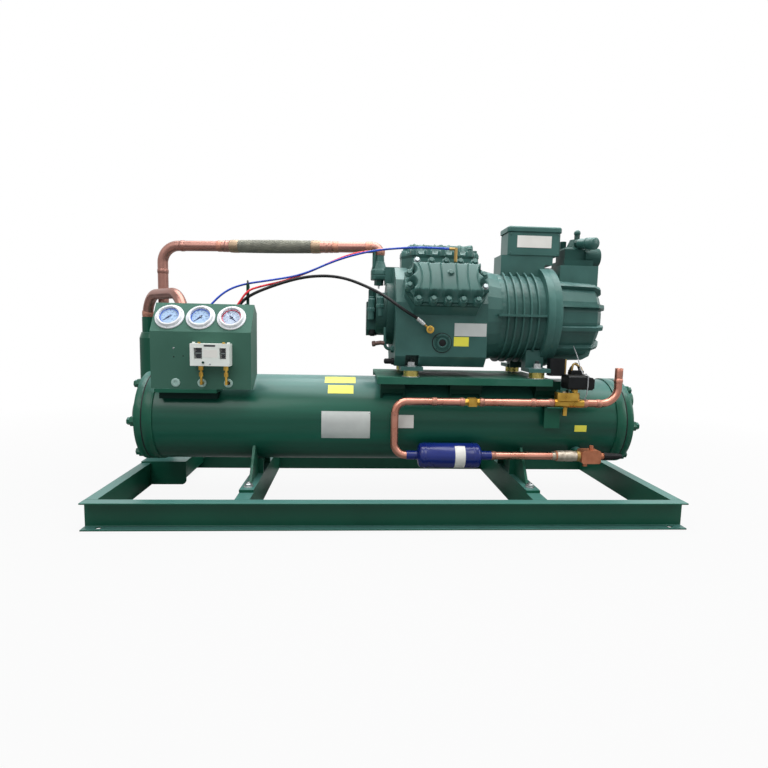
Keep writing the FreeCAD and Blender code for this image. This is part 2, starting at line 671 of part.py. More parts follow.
def cylinder_heads():
    """Cast heads: a flange, a raised crown with ribs across it, and a boss round every bolt."""
    middle = (BANK_LEFT_X + BANK_RIGHT_X) / 2.0
    seat = CRANK_Z + BANK_DECK + VALVE_PLATE
    half_x = (BANK_RIGHT_X - BANK_LEFT_X) / 2.0
    flange = prism(bank_outline(seat), (0, 0, HEAD_FLANGE))
    crown = prism(eight_sided(half_x - 26.0, BANK_HALF - 24.0, 30.0, 48.0, seat), (0, 0, HEAD_HEIGHT))
    rim = [e for e in crown.Edges if e.BoundBox.ZMin > seat + 1.0]
    solids = [flange, crown.makeChamfer(9.0, rim)]
    for x, y in head_bolt_places():
        solids.append(hexagon((middle + x, y, seat), Z_AXIS, HEAD_BOSS_FLATS, HEAD_BOSS_HEIGHT))
    for x in (-88.0, -52.0, -16.0, 34.0, 70.0, 104.0):
        reach = BANK_HALF - 28.0
        solids.append(box(middle + x - 2.5, middle + x + 2.5, -reach, reach,
                          seat + HEAD_FLANGE, seat + HEAD_HEIGHT + HEAD_RIB))
    gallery = box(middle - half_x + 40.0, middle + half_x - 40.0, -40.0, 40.0, seat, seat + HEAD_HEIGHT - 14.0)
    head = joined(solids).cut(gallery)
    heads = [about_crank(head, angle) for angle in BANK_ANGLES]
    save_group("cylinder_heads", heads)

    plate = prism(bank_outline(seat - VALVE_PLATE), (0, 0, VALVE_PLATE))
    save_group("valve_plates", [about_crank(plate, angle) for angle in BANK_ANGLES])

    bolts = []
    for x, y in head_bolt_places():
        bolts.append(hexagon((middle + x, y, seat + HEAD_BOSS_HEIGHT), Z_AXIS, HEAD_BOLT_FLATS, 9.0))
    bolts.append(hexagon((middle + 9.0, 12.0, seat + HEAD_HEIGHT), Z_AXIS, HEAD_BOLT_FLATS, 9.0))
    save_group("head_bolts", [about_crank(bolt, angle) for angle in BANK_ANGLES for bolt in bolts])
    return heads[0]


def motor_end_cover():
    """A drum-shaped motor cover with lengthwise ribs and a square pad for the suction valve."""
    start = MOTOR_END_X + FLANGE_THICK
    length = END_COVER_TIP_X - start
    solids = [cylinder((start, 0, CRANK_Z), X_AXIS, FLANGE_R, FLANGE_THICK)]
    crown = END_COVER_TIP_X - END_COVER_CROWN
    solids.append(taper((start + FLANGE_THICK, 0, CRANK_Z), X_AXIS, 158.0, 150.0, crown - start - FLANGE_THICK, 24))
    solids.append(taper((crown, 0, CRANK_Z), X_AXIS, 150.0, 120.0, END_COVER_CROWN, 24))
    profile = [(start + 20.0, 100.0), (start + 20.0, 172.0), (END_COVER_TIP_X - 30.0, 167.0),
               (END_COVER_TIP_X - 4.0, 154.0), (END_COVER_TIP_X + 5.0, 132.0), (END_COVER_TIP_X - 14.0, 100.0)]
    half = END_COVER_RIB / 2.0
    rib = prism([(x, -half, CRANK_Z + z) for x, z in profile], (0, END_COVER_RIB, 0))
    for i in range(END_COVER_RIBS):
        solids.append(about_crank(rib, 360.0 * (i + 0.5) / END_COVER_RIBS))
    half = 74.0
    solids.append(box(SUCTION_VALVE_X - half, SUCTION_VALVE_X + half, -half, half, CRANK_Z + 100.0, SUCTION_PAD_Z))
    inside = cylinder((start, 0, CRANK_Z), X_AXIS, MOTOR_BORE_R - END_COVER_WALL, length - END_COVER_WALL)
    save("motor_end_cover", joined(solids).cut(inside))


def running_gear():
    """Crankshaft with two throws, the motor rotor on its end and the stator round it."""
    solids = [cylinder((SHAFT_LEFT_X, 0, CRANK_Z), X_AXIS, SHAFT_R, SHAFT_RIGHT_X - SHAFT_LEFT_X)]
    middle = (BANK_LEFT_X + BANK_RIGHT_X) / 2.0
    for side in (-1.0, 1.0):
        x = middle + side * THROW_OFFSET
        solids.append(cylinder((x - 42.0, 0, CRANK_Z + side * CRANK_THROW), X_AXIS, CRANK_PIN_R, 84.0))
        for face in (x - 56.0, x + 42.0):
            solids.append(box(face, face + 14.0, -34.0, 34.0, CRANK_Z - 62.0, CRANK_Z + 62.0))
    save("crankshaft", joined(solids))
    rotor_x = MOTOR_END_X - ROTOR_LENGTH
    save("motor_rotor", ring((rotor_x, 0, CRANK_Z), X_AXIS, ROTOR_R, SHAFT_R, ROTOR_LENGTH))
    save("motor_stator", ring((rotor_x, 0, CRANK_Z), X_AXIS, MOTOR_BORE_R, ROTOR_R + AIR_GAP, ROTOR_LENGTH))


def oil_pump():
    """Bearing cover on the crankcase's left face with the oil pump hanging from it."""
    face = DISCHARGE_FACE_X
    solids = [cylinder((CASE_LEFT_X, 0, CRANK_Z), TO_LEFT, 118.0, BEARING_FLANGE)]
    solids.append(cylinder((face, 0, CRANK_Z), TO_LEFT, 82.0, 40.0))
    solids.append(box(face - 74.0, face - 30.0, -46.0, 46.0, CRANK_Z - 60.0, CRANK_Z + 44.0))
    solids.append(prism([(face - 74.0, -46.0, CRANK_Z - 60.0), (face - 74.0, 46.0, CRANK_Z - 60.0),
                         (face - 74.0, 22.0, CRANK_Z - 84.0), (face - 74.0, -22.0, CRANK_Z - 84.0)], (40.0, 0, 0)))
    for y in (-26.0, 26.0):
        solids.append(hexagon((face - 52.0, y, CRANK_Z + 30.0), Z_AXIS, 28.0, 62.0))
    bearing = cylinder((CASE_LEFT_X, 0, CRANK_Z), TO_LEFT, SHAFT_R + SHAFT_CLEARANCE, CASE_LEFT_X - SHAFT_LEFT_X)
    save("oil_pump_cover", joined(solids).cut(bearing))
    save("oil_sight_glass", cylinder((SIGHT_X, -CASE_HALF, SIGHT_Z), TO_FRONT, 27.0, 10.0))


def terminal_box():
    x0, x1, y0, y1, z0, z1 = TERMINAL_BOX
    shell = box(x0, x1, y0, y1, z0, z1)
    shell = shell.makeChamfer(7.0, [e for e in shell.Edges if e.BoundBox.ZLength > 1.0])
    save("terminal_box", shell.cut(box(x0 + 6.0, x1 - 6.0, y0 + 6.0, y1 - 6.0, z0 + 4.0, z1)))
    lid = box(x0 - 4.0, x1 + 4.0, y0 - 4.0, y1 + 4.0, z1, z1 + TERMINAL_LID)
    lid = lid.makeChamfer(8.0, [e for e in lid.Edges if e.BoundBox.ZLength > 1.0])
    lid = lid.makeChamfer(5.0, [e for e in lid.Edges if e.BoundBox.ZMin > z1 + TERMINAL_LID - 1.0])
    save("terminal_box_lid", lid)


def stem(root, tip, square):
    """A valve spindle from its root to its tip, with a square end for a key."""
    along = V(*tip) - V(*root)
    end = Part.makeBox(STEM_SQUARE, STEM_SQUARE, square, V(-STEM_SQUARE / 2.0, -STEM_SQUARE / 2.0, 0))
    end.Placement = FreeCAD.Placement(V(*tip), FreeCAD.Rotation(V(0, 0, 1), along))
    return joined([rod(root, tip, STEM_R), end])


def discharge_valve():
    """Angle valve on the crankcase's left rear: outlet at the top, spindle underneath."""
    x = DISCHARGE_VALVE_X
    y = DISCHARGE_VALVE_Y
    half = DISCHARGE_VALVE_HALF
    low = DISCHARGE_BLOCK_LOW_Z
    top = DISCHARGE_BLOCK_TOP_Z
    block = box(DISCHARGE_VALVE_LEFT_X, DISCHARGE_FACE_X, y - half, y + half, low, top)
    block = block.makeChamfer(8.0, [e for e in block.Edges if e.BoundBox.ZLength > 1.0])
    throat = taper((x, y, top), Z_AXIS, 25.0, DISCHARGE_PIPE_R, DISCHARGE_VALVE_TOP_Z - top)
    bonnet = hexagon((x, y, low - 22.0), Z_AXIS, 32.0, 22.0)
    bore = cylinder((x, y, low - 22.0), Z_AXIS, STEM_R + STEM_CLEARANCE, 50.0)
    save("discharge_valve", joined([block, throat, bonnet]).cut(bore))
    save("discharge_valve_stem", stem((x, y, low + 26.0), (x, y, low - 24.0), 10.0))


def suction_valve():
    """Flanged valve on the motor cover's pad: inlet to the right, capped spindle to the front."""
    x = SUCTION_VALVE_X
    flange_z = SUCTION_PAD_Z + SUCTION_BASE_THICK
    top = SUCTION_TOWER_TOP_Z
    base = box(x - SUCTION_BASE_HALF, x + SUCTION_BASE_HALF, -66.0, 66.0, SUCTION_PAD_Z, flange_z)
    tower = box(x - 50.0, x + 50.0, -52.0, 40.0, flange_z, top)
    tower = tower.makeChamfer(10.0, [e for e in tower.Edges if e.BoundBox.ZMin > top - 1.0])
    inlet = cylinder((x + 28.0, SUCTION_PORT_Y, SUCTION_PORT_Z), X_AXIS, SUCTION_PORT_R + 9.0,
                     SUCTION_PORT_TIP_X - x - 28.0)
    seat = x + SUCTION_BASE_HALF
    port = cylinder((seat, SUCTION_PORT_Y, SUCTION_PORT_Z), X_AXIS, SUCTION_PORT_R, SUCTION_PORT_TIP_X - seat)
    dome = taper((x + 8.0, -6.0, top - 6.0), Z_AXIS, 38.0, 22.0, 38.0)
    knob = hexagon((x + 15.0, 0, top + 24.0), Z_AXIS, 18.0, 42.0)
    plug = hexagon((x - 32.0, 20.0, top - 6.0), Z_AXIS, 22.0, 34.0)
    rear_cap = hexagon((x + 40.0, 30.0, top - 11.0), Z_AXIS, 24.0, 46.0)
    root = SUCTION_STEM_ROOT
    shoulder = SUCTION_STEM_SHOULDER
    along = (V(*shoulder) - V(*root)).normalize()
    bonnet = bar(root, shoulder, 15.0)
    body = joined([base, tower, inlet, dome, knob, plug, rear_cap, bonnet])
    bore = rod(root, shoulder, STEM_R + STEM_CLEARANCE)
    save("suction_valve", body.cut([port, bore]))
    save("suction_valve_stem", stem(tuple(V(*root) + along * 10.0), tuple(V(*shoulder) + along * 10.0), 8.0))
    cap = barrel(shoulder, tuple(along), 18.0, SUCTION_CAP_LENGTH)
    hollow = barrel(shoulder, tuple(along), STEM_R + 3.0, SUCTION_CAP_LENGTH - 10.0)
    save("suction_valve_cap", cap.cut(hollow))


def liquid_valve():
    """Angle valve at the condenser's liquid outlet, its spindle to the right under a cap."""
    x0, x1, y0, y1, z0, z1 = LIQUID_VALVE
    block = box(x0, x1, y0, y1, z0, z1)
    block = block.makeChamfer(6.0, [e for e in block.Edges if e.BoundBox.YLength > 20.0])
    inlet = barrel((COUPLING_LEFT_X, LIQUID_Y, LIQUID_LOW_Z), X_AXIS, 18.5, x0 - COUPLING_LEFT_X, PIPE_SIDES)
    neck = barrel((x1, LIQUID_Y, LIQUID_LOW_Z), X_AXIS, 12.0, 18.0)
    port = hexagon((743.0, LIQUID_Y, z1), Z_AXIS, 13.0, 16.0)
    under = hexagon((722.0, LIQUID_Y, z0 - 14.0), Z_AXIS, 15.0, 14.0)
    bore = cylinder((x1 - 30.0, LIQUID_Y, LIQUID_LOW_Z), X_AXIS, STEM_R + STEM_CLEARANCE, 48.0)
    save("liquid_valve", joined([block, inlet, neck, port, under]).cut(bore))
    save("liquid_valve_stem", stem((x1 - 28.0, LIQUID_Y, LIQUID_LOW_Z), (x1 + 20.0, LIQUID_Y, LIQUID_LOW_Z), 10.0))
    cap = taper((x1 + 18.0, LIQUID_Y, LIQUID_LOW_Z), X_AXIS, 15.0, 9.0, 69.0)
    hollow = barrel((x1 + 18.0, LIQUID_Y, LIQUID_LOW_Z), X_AXIS, STEM_R + 3.0, 20.0)
    save("liquid_valve_cap", cap.cut(hollow))


def discharge_line():
    """Three copper pipes: valve to eliminator, eliminator to separator, separator to condenser."""
    top = V(DISCHARGE_VALVE_X, DISCHARGE_VALVE_Y, DISCHARGE_AXIS_Z)
    corner = V(SEPARATOR_X + SEPARATOR_PORT, SEPARATOR_Y, DISCHARGE_AXIS_Z)
    along = (corner - top).normalize()
    first = top + along * ELIMINATOR_START
    last = top + along * (ELIMINATOR_START + ELIMINATOR_LENGTH)
    short = tube([(top.x, top.y, DISCHARGE_VALVE_TOP_Z), tuple(top), tuple(first)],
                 DISCHARGE_ELBOW_R, DISCHARGE_PIPE_R, PIPE_SIDES)
    long = tube([tuple(last), tuple(corner), (corner.x, corner.y, SEPARATOR_INLET_Z)],
                DISCHARGE_BEND_R, DISCHARGE_PIPE_R, PIPE_SIDES)
    outlet_x = SEPARATOR_X - SEPARATOR_PORT
    arch = tube([(outlet_x, SEPARATOR_Y, SEPARATOR_OUTLET_Z), (outlet_x, SEPARATOR_Y, ARCH_AXIS_Z),
                 (GAS_INLET_X, 0, ARCH_AXIS_Z), (GAS_INLET_X, 0, GAS_INLET_TOP_Z)], ARCH_BEND_R, DISCHARGE_PIPE_R,
                PIPE_SIDES)
    save_group("discharge_pipes", [short, long, arch])

    near, far = ELIMINATOR_SLEEVES
    braid = barrel(tuple(first + along * near), tuple(along), ELIMINATOR_BRAID_R, ELIMINATOR_LENGTH - near - far,
                   PIPE_SIDES)
    sleeve = barrel(tuple(first), tuple(along), ELIMINATOR_SLEEVE_R, ELIMINATOR_LENGTH, PIPE_SIDES)
    save("vibration_eliminator", joined([braid, sleeve]))


def oil_separator():
    x = SEPARATOR_X
    y = SEPARATOR_Y
    low = SEPARATOR_BOTTOM_Z + SEPARATOR_DOME
    high = SEPARATOR_TOP_Z - SEPARATOR_DOME
    solids = [cylinder((x, y, low), Z_AXIS, SEPARATOR_R, high - low)]
    solids.append(cone((x, y, high), Z_AXIS, SEPARATOR_R, SEPARATOR_R - 8.0, SEPARATOR_DOME))
    solids.append(barrel((x, y, low), DOWN, SEPARATOR_R - 8.0, SEPARATOR_DOME, PIPE_SIDES))
    pedestal = FRAME_HEIGHT + SEPARATOR_PLATE
    solids.append(hexagon((x, y, pedestal), Z_AXIS, 44.0, low - pedestal))
    solids.append(barrel((x + SEPARATOR_PORT, y, high), Z_AXIS, SEPARATOR_NECK_R, SEPARATOR_INLET_Z - high))
    solids.append(barrel((x - SEPARATOR_PORT, y, high), Z_AXIS, SEPARATOR_NECK_R, SEPARATOR_OUTLET_Z - high))
    save("oil_separator", joined(solids))


def liquid_line():
    """Copper pipes of the liquid line and what is let into them, from the valve to the outlet."""
    drier_left = DRIER_LEFT_X - DRIER_STUB
    drier_right = DRIER_RIGHT_X + DRIER_STUB
    loop = tube([(drier_left, LIQUID_Y, LIQUID_LOW_Z), (LIQUID_LEFT_X, LIQUID_Y, LIQUID_LOW_Z),
                 (LIQUID_LEFT_X, LIQUID_Y, LIQUID_HIGH_Z), (INDICATOR_LEFT_X, LIQUID_Y, LIQUID_HIGH_Z)],
                LIQUID_BEND_R - 0.5, LIQUID_PIPE_R, PIPE_SIDES)
    low = barrel((drier_right, LIQUID_Y, LIQUID_LOW_Z), X_AXIS, LIQUID_PIPE_R,
                 COUPLING_LEFT_X - drier_right, PIPE_SIDES)
    high = barrel((INDICATOR_RIGHT_X, LIQUID_Y, LIQUID_HIGH_Z), X_AXIS, LIQUID_PIPE_R,
                  SOLENOID_LEFT_X - INDICATOR_RIGHT_X, PIPE_SIDES)
    outlet = tube([(SOLENOID_RIGHT_X, LIQUID_Y, LIQUID_HIGH_Z), (OUTLET_X, LIQUID_Y, LIQUID_HIGH_Z),
                   (OUTLET_X, LIQUID_Y, OUTLET_TOP_Z)], OUTLET_BEND_R, LIQUID_PIPE_R,
                  PIPE_SIDES)
    end_bore = cylinder((OUTLET_X, LIQUID_Y, OUTLET_TOP_Z - OUTLET_BORE_DEPTH), Z_AXIS, LIQUID_PIPE_BORE,
                        OUTLET_BORE_DEPTH)
    save_group("liquid_pipes", [loop, low, high, outlet.cut(end_bore)])

    length = DRIER_RIGHT_X - DRIER_LEFT_X
    drier = [cylinder((DRIER_LEFT_X + 6.0, LIQUID_Y, LIQUID_LOW_Z), X_AXIS, DRIER_R, length - 12.0)]
    drier.append(barrel((DRIER_LEFT_X, LIQUID_Y, LIQUID_LOW_Z), X_AXIS, DRIER_R - 9.0, length, PIPE_SIDES))
    drier.append(barrel((drier_left, LIQUID_Y, LIQUID_LOW_Z), X_AXIS, 16.0, DRIER_STUB, PIPE_SIDES))
    drier.append(barrel((DRIER_RIGHT_X, LIQUID_Y, LIQUID_LOW_Z), X_AXIS, 16.0, DRIER_STUB, PIPE_SIDES))
    save("filter_drier", joined(drier))

    body = hexagon((INDICATOR_LEFT_X, LIQUID_Y, LIQUID_HIGH_Z), X_AXIS, 24.0, INDICATOR_RIGHT_X - INDICATOR_LEFT_X)
    eye_x = (INDICATOR_LEFT_X + INDICATOR_RIGHT_X) / 2.0
    nut = box(eye_x - 15.0, eye_x + 15.0, LIQUID_Y - 18.0, LIQUID_Y + 14.0, LIQUID_HIGH_Z - 15.0, LIQUID_HIGH_Z + 15.0)
    save("liquid_indicator", joined([body, nut]))


def solenoid():
    """Servo solenoid valve with a flanged bonnet, its coil, and the bracket that holds it to the shell."""
    z = LIQUID_HIGH_Z
    y = LIQUID_Y
    body = box(SOLENOID_LEFT_X, SOLENOID_RIGHT_X, y - 17.0, y + 17.0, z - 14.0, z + 14.0)
    body = body.makeChamfer(7.0, [e for e in body.Edges if e.BoundBox.XLength > 1.0])
    flange = box(599.0, 680.0, y - 23.0, y + 23.0, z + 10.0, z + 40.0)
    flange = flange.makeChamfer(8.0, [e for e in flange.Edges if e.BoundBox.ZLength > 1.0])
    tower = cylinder((666.0, y, z + 40.0), Z_AXIS, 12.0, 13.0)
    foot = hexagon((634.0, y, z - 46.0), Z_AXIS, 14.0, 40.0)
    save("solenoid_valve", joined([body, flange, tower, foot]))
    coil = box(628.0, 705.0, y - 35.0, y + 35.0, z + 53.0, z + 104.0)
    coil = coil.makeChamfer(6.0, [e for e in coil.Edges if e.BoundBox.XLength > 1.0])
    plug = box(705.0, 732.0, y - 20.0, y + 20.0, z + 50.0, z + 96.0)
    plug = plug.makeChamfer(8.0, [e for e in plug.Edges if e.BoundBox.YLength > 1.0 and e.BoundBox.XMin > 731.0])
    save("solenoid_coil", joined([coil, plug]))
    top = z - 14.0
    shelf = box(563.0, 622.0, y - 17.0, -130.0, top - 4.0, top)
    face = box(563.0, 622.0, -189.0, -185.0, 306.0, top - 4.0)
    side = box(618.0, 622.0, -185.0, -150.0, 306.0, top - 4.0)
    drum = cylinder((SOLENOID_LEFT_X - SHELL_R, 0, SHELL_AXIS_Z), X_AXIS, SHELL_R, 2.0 * SHELL_R)
    save("solenoid_bracket", joined([shelf, face, side]).cut(drum))


def gauge_centres():
    return [GAUGE_FIRST_X + GAUGE_STEP * i for i in range(GAUGES)]


def panel():
    """Folded sheet panel with an upright front, a sloping top and sides, on a bracket over the shell."""
    back = PANEL_FACE_Y + PANEL_SIDE_DEPTH
    front = box(PANEL_LEFT_X, PANEL_RIGHT_X, PANEL_FACE_Y, PANEL_FACE_Y + PANEL_SHEET, PANEL_BOTTOM_Z, PANEL_FOLD_Z)
    slope = on_slope(box(PANEL_LEFT_X, PANEL_RIGHT_X, PANEL_FACE_Y, PANEL_FACE_Y + PANEL_SHEET,
                         PANEL_FOLD_Z, PANEL_FOLD_Z + PANEL_SLOPE))
    top_y = PANEL_FACE_Y + PANEL_SLOPE * math.sin(math.radians(PANEL_TILT))
    top_z = PANEL_FOLD_Z + PANEL_SLOPE * math.cos(math.radians(PANEL_TILT))
    outline = [(PANEL_FACE_Y, PANEL_BOTTOM_Z), (PANEL_FACE_Y, PANEL_FOLD_Z), (top_y, top_z),
               (back, top_z - 30.0), (back, 480.0), (PANEL_FACE_Y + PANEL_SHELF, PANEL_BOTTOM_Z)]
    solids = [front, slope]
    for x in (PANEL_LEFT_X, PANEL_RIGHT_X - PANEL_SHEET):
        solids.append(prism([(x, y, z) for y, z in outline], (PANEL_SHEET, 0, 0)))
    shelf_y = PANEL_FACE_Y + PANEL_SHELF
    solids.append(box(PANEL_LEFT_X, PANEL_RIGHT_X, PANEL_FACE_Y, shelf_y, PANEL_BOTTOM_Z, PANEL_BOTTOM_Z + PANEL_SHEET))
    sheet = joined(solids)
    for x in gauge_centres():
        hole = cylinder((x, PANEL_FACE_Y - 1.0, PANEL_FOLD_Z + GAUGE_UP_SLOPE), Y_AXIS, GAUGE_CASE_R, PANEL_SHEET + 2.0)
        sheet = sheet.cut(on_slope(hole))
    save("control_panel", sheet)

    left = -834.0
    right = -620.0
    drum = cylinder((-900.0, 0, SHELL_AXIS_Z), X_AXIS, SHELL_R, 500.0)
    plate = box(left, right, PANEL_FACE_Y - 2.0, -90.0, PANEL_BOTTOM_Z - 8.0, PANEL_BOTTOM_Z)
    pillar = box(left + 6.0, right - 6.0, -165.0, -95.0, 380.0, PANEL_BOTTOM_Z - 8.0)
    save("panel_bracket", joined([plate, pillar]).cut(drum))


def gauges():
    """Flanged gauges on the slope: case, lens and needle, with the needles on the dials' pins."""
    cases = []
    lenses = []
    elbows = []
    level = PANEL_FOLD_Z + GAUGE_UP_SLOPE
    turns = (45.0, 45.0, -45.0)
    names = ("left", "middle", "right")
    for x, turn, name in zip(gauge_centres(), turns, names):
        rear = PANEL_FACE_Y + GAUGE_CASE_DEPTH + PANEL_SHEET
        parts = [barrel((x, rear, level), TO_FRONT, GAUGE_CASE_R, rear - PANEL_FACE_Y, PIPE_SIDES)]
        parts.append(cylinder((x, PANEL_FACE_Y, level), TO_FRONT, GAUGE_FLANGE_R, GAUGE_FLANGE))
        parts.append(cylinder((x, PANEL_FACE_Y, level), TO_FRONT, GAUGE_BEZEL_R, GAUGE_BEZEL))
        dial_y = PANEL_FACE_Y - GAUGE_DIAL
        well = cylinder((x, dial_y, level), TO_FRONT, GAUGE_DIAL_R, GAUGE_BEZEL - GAUGE_DIAL)
        pin = barrel((x, dial_y, level), TO_FRONT, GAUGE_PIN_R, 4.0)
        case = joined([joined(parts).cut(well), pin])
        cases.append(on_slope(case))
        lens_y = PANEL_FACE_Y - GAUGE_BEZEL + GAUGE_LENS + 1.0
        lenses.append(on_slope(cylinder((x, lens_y, level), TO_FRONT, GAUGE_DIAL_R, GAUGE_LENS)))
        front = dial_y - 1.0
        blade = prism([(x - 1.6, front, level + 9.0), (x + 1.6, front, level + 9.0), (x + 2.6, front, level),
                       (x + 0.5, front, level - 28.0), (x - 0.5, front, level - 28.0), (x - 2.6, front, level)],
                      (0, -1.2, 0))
        hub = hexagon((x, front, level), TO_FRONT, 8.0, 2.4)
        needle = joined([blade, hub])
        needle = needle.cut(cylinder((x, dial_y, level), TO_FRONT, GAUGE_PIN_R + NEEDLE_CLEARANCE, 8.0))
        needle.rotate(V(x, 0, level), V(0, 1, 0), turn)
        save("gauge_needle_" + name, on_slope(needle))
        half = HOSE_ELBOW / 2.0
        solids = [box(x - half, x + half, rear, rear + HOSE_ELBOW, level - half, level + half)]
        if name == "right":
            solids.append(barrel((x, rear + half, level), Z_AXIS, 5.0, HOSE_NIPPLE))
        else:
            solids.append(barrel((x, rear + half, level), X_AXIS, 5.0, HOSE_NIPPLE))
        elbows.append(on_slope(joined(solids)))
    save_group("gauge_cases", cases)
    save_group("gauge_lenses", lenses)
    return elbows


def pressure_control():
    """Dual pressure control: two scale windows, a screw over each, a reset button and two pipe ends."""
    x0, x1, y0, y1, z0, z1 = CONTROL
    low, high = CONTROL_WINDOW_Z
    housing = box(x0, x1, y0, y1, z0, z1)
    screw_y = y0 + SCREW_INSET
    back = y0 + CONTROL_WINDOW_DEPTH
    for (left, right), side in zip(CONTROL_WINDOWS, ("low", "high")):
        housing = housing.cut(box(left, right, y0, back, low, high))
        middle = (left + right) / 2.0
        housing = housing.cut(cylinder((middle, screw_y, z1 - SCREW_DEPTH), Z_AXIS, SCREW_R + SLIDE_CLEARANCE / 2.0,
                                       SCREW_DEPTH))
        shank = cylinder((middle, screw_y, z1 - SCREW_DEPTH + 1.0), Z_AXIS, SCREW_R, SCREW_DEPTH)
        head = hexagon((middle, screw_y, z1 + 0.3), Z_AXIS, SCREW_FLATS, 5.0)
        save(side + "_pressure_screw", joined([shank, head]))
        scale = (low + high) / 2.0
        save(side + "_pressure_pointer", box(left + SLIDE_CLEARANCE, right - SLIDE_CLEARANCE, back - 4.0,
                                             back - SLIDE_CLEARANCE, scale - POINTER_HEIGHT / 2.0,
                                             scale + POINTER_HEIGHT / 2.0))
    button_end = y0 + BUTTON_DEPTH
    housing = housing.cut(cylinder((BUTTON_X, button_end + BUTTON_TRAVEL + 0.5, BUTTON_Z), TO_FRONT,
                                   BUTTON_R + SLIDE_CLEARANCE / 2.0, 40.0))
    save("pressure_control", housing)
    save("reset_button", cylinder((BUTTON_X, button_end, BUTTON_Z), TO_FRONT, BUTTON_R, BUTTON_DEPTH + BUTTON_PROUD))

    fittings = []
    pipe_y = (y0 + y1) / 2.0
    for x in CONTROL_PIPE_X:
        solids = [hexagon((x, pipe_y, z0), DOWN, 15.0, 16.0)]
        solids.append(barrel((x, pipe_y, z0), DOWN, CONTROL_PIPE_R, z0 - CONTROL_PIPE_Z + CONTROL_PIPE_R))
        solids.append(hexagon((x, pipe_y, z0 - 24.0), DOWN, 13.0, 14.0))
        solids.append(barrel((x, pipe_y - CONTROL_PIPE_R, CONTROL_PIPE_Z), Y_AXIS, CONTROL_PIPE_R,
                             y1 - pipe_y + CONTROL_PIPE_R))
        fittings.append(joined(solids))
    save_group("control_fittings", fittings)


def hoses(front_head, elbows):
    """Hoses from the gauges to the front head, the discharge valve and the crankcase."""
    save("blue_hose", tube(BLUE_HOSE, None, THIN_HOSE_R, HOSE_SIDES))
    save("red_hose", tube(RED_HOSE, None, THIN_HOSE_R, HOSE_SIDES))
    save("black_hose", tube(BLACK_HOSE, None, THICK_HOSE_R, HOSE_SIDES))

    head_end = joined([bar(BLUE_HOSE[-1], HEAD_PORT, 5.0),
                       barrel((HEAD_PORT[0], HEAD_PORT[1], HEAD_PORT[2] + 4.0), DOWN, 6.0, 60.0)])
    pieces = [s for s in head_end.cut(front_head).Solids if s.BoundBox.ZMax > HEAD_PORT[2]]
    valve_end = joined([bar(RED_HOSE[-1], VALVE_PORT, 5.0),
                        barrel((VALVE_PORT[0], VALVE_PORT[1], 902.0), Z_AXIS, 5.0, VALVE_PORT[2] - 902.0 + 4.0)])
    ferrule_end = V(*BLACK_HOSE[-1]) + (V(*BANJO) - V(*BLACK_HOSE[-1])) * 0.45
    banjo = joined([bar(BLACK_HOSE[-1], tuple(ferrule_end), 7.0),
                    bar(tuple(ferrule_end), BANJO, 4.0),
                    barrel((BANJO[0], BANJO[1] - 6.0, BANJO[2]), Y_AXIS, 11.0, 12.0),
                    hexagon((BANJO[0], BANJO[1] - 13.0, BANJO[2]), Y_AXIS, 14.0, -CASE_HALF - BANJO[1] + 13.0)])
    save_group("hose_fittings", pieces + [valve_end, banjo] + elbows)


base_frame()
separator_base()
saddle_bolts = saddles()
cover_bolts = condenser()
foot_bolts = deck()
compressor_body()
front_cylinder_head = cylinder_heads()
motor_end_cover()
running_gear()
oil_pump()
terminal_box()
discharge_valve()
suction_valve()
liquid_valve()
discharge_line()
oil_separator()
liquid_line()
solenoid()
panel()
gauge_elbows = gauges()
pressure_control()
hoses(front_cylinder_head, gauge_elbows)
save_group("large_bolts", saddle_bolts + cover_bolts + foot_bolts)
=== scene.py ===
"""Looks of a water-cooled refrigeration condensing unit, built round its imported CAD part."""

import math

import bmesh
import bpy
from mathutils import Matrix, Vector


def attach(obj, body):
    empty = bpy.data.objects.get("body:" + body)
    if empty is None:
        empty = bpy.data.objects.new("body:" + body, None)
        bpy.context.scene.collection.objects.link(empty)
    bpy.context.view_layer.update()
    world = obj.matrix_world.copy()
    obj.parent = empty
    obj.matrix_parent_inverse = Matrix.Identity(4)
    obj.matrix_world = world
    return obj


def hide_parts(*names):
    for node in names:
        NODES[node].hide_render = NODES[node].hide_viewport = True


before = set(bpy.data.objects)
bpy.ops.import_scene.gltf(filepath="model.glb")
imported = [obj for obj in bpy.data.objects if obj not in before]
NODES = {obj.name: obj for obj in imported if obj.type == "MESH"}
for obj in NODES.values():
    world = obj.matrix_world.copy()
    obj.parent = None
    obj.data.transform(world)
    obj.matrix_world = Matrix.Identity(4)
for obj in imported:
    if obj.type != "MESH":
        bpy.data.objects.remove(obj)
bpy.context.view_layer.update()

MM = 0.001
CRANK_Z = 715.0
SHELL_Z = 310.0
SHELL_R = 162.5
PANEL_FACE_Y = -190.0
PANEL_FOLD_Z = 634.0
PANEL_TILT = math.radians(35.0)
LIQUID_Y = -200.0
DRIER_Z = 205.0
LOOP_Z = 402.0
LOOP_END_X = 829.0
HEAD_MIDDLE_X = 183.0
HEAD_SEAT = 216.0
BANKS = (60.0, 0.0, -60.0)
SADDLE_BOLTS = [(x, y) for x in (-500.0, 500.0) for y in (-250.0, 250.0)]
FEET = [(x, y) for x in (70.0, 540.0) for y in (-150.0, 150.0)]
HOT_R = 21.0
LIQUID_R = 14.0
SIGHT_X = 176.0
SIGHT_Z = 612.0
UP = (0, 0, 1)
DOWN = (0, 0, -1)
RIGHT = (1, 0, 0)
LEFT = (-1, 0, 0)
FRONT = (0, -1, 0)

# Camera, with its yaw, pitch and roll in degrees
CAMERA_TURN = (3.692, 6.158, 1.244)
CAMERA_PLACE = (-0.15107, -2.05890, 0.66357)
CAMERA_LENS = 24.642
CAMERA_SENSOR = 36.0


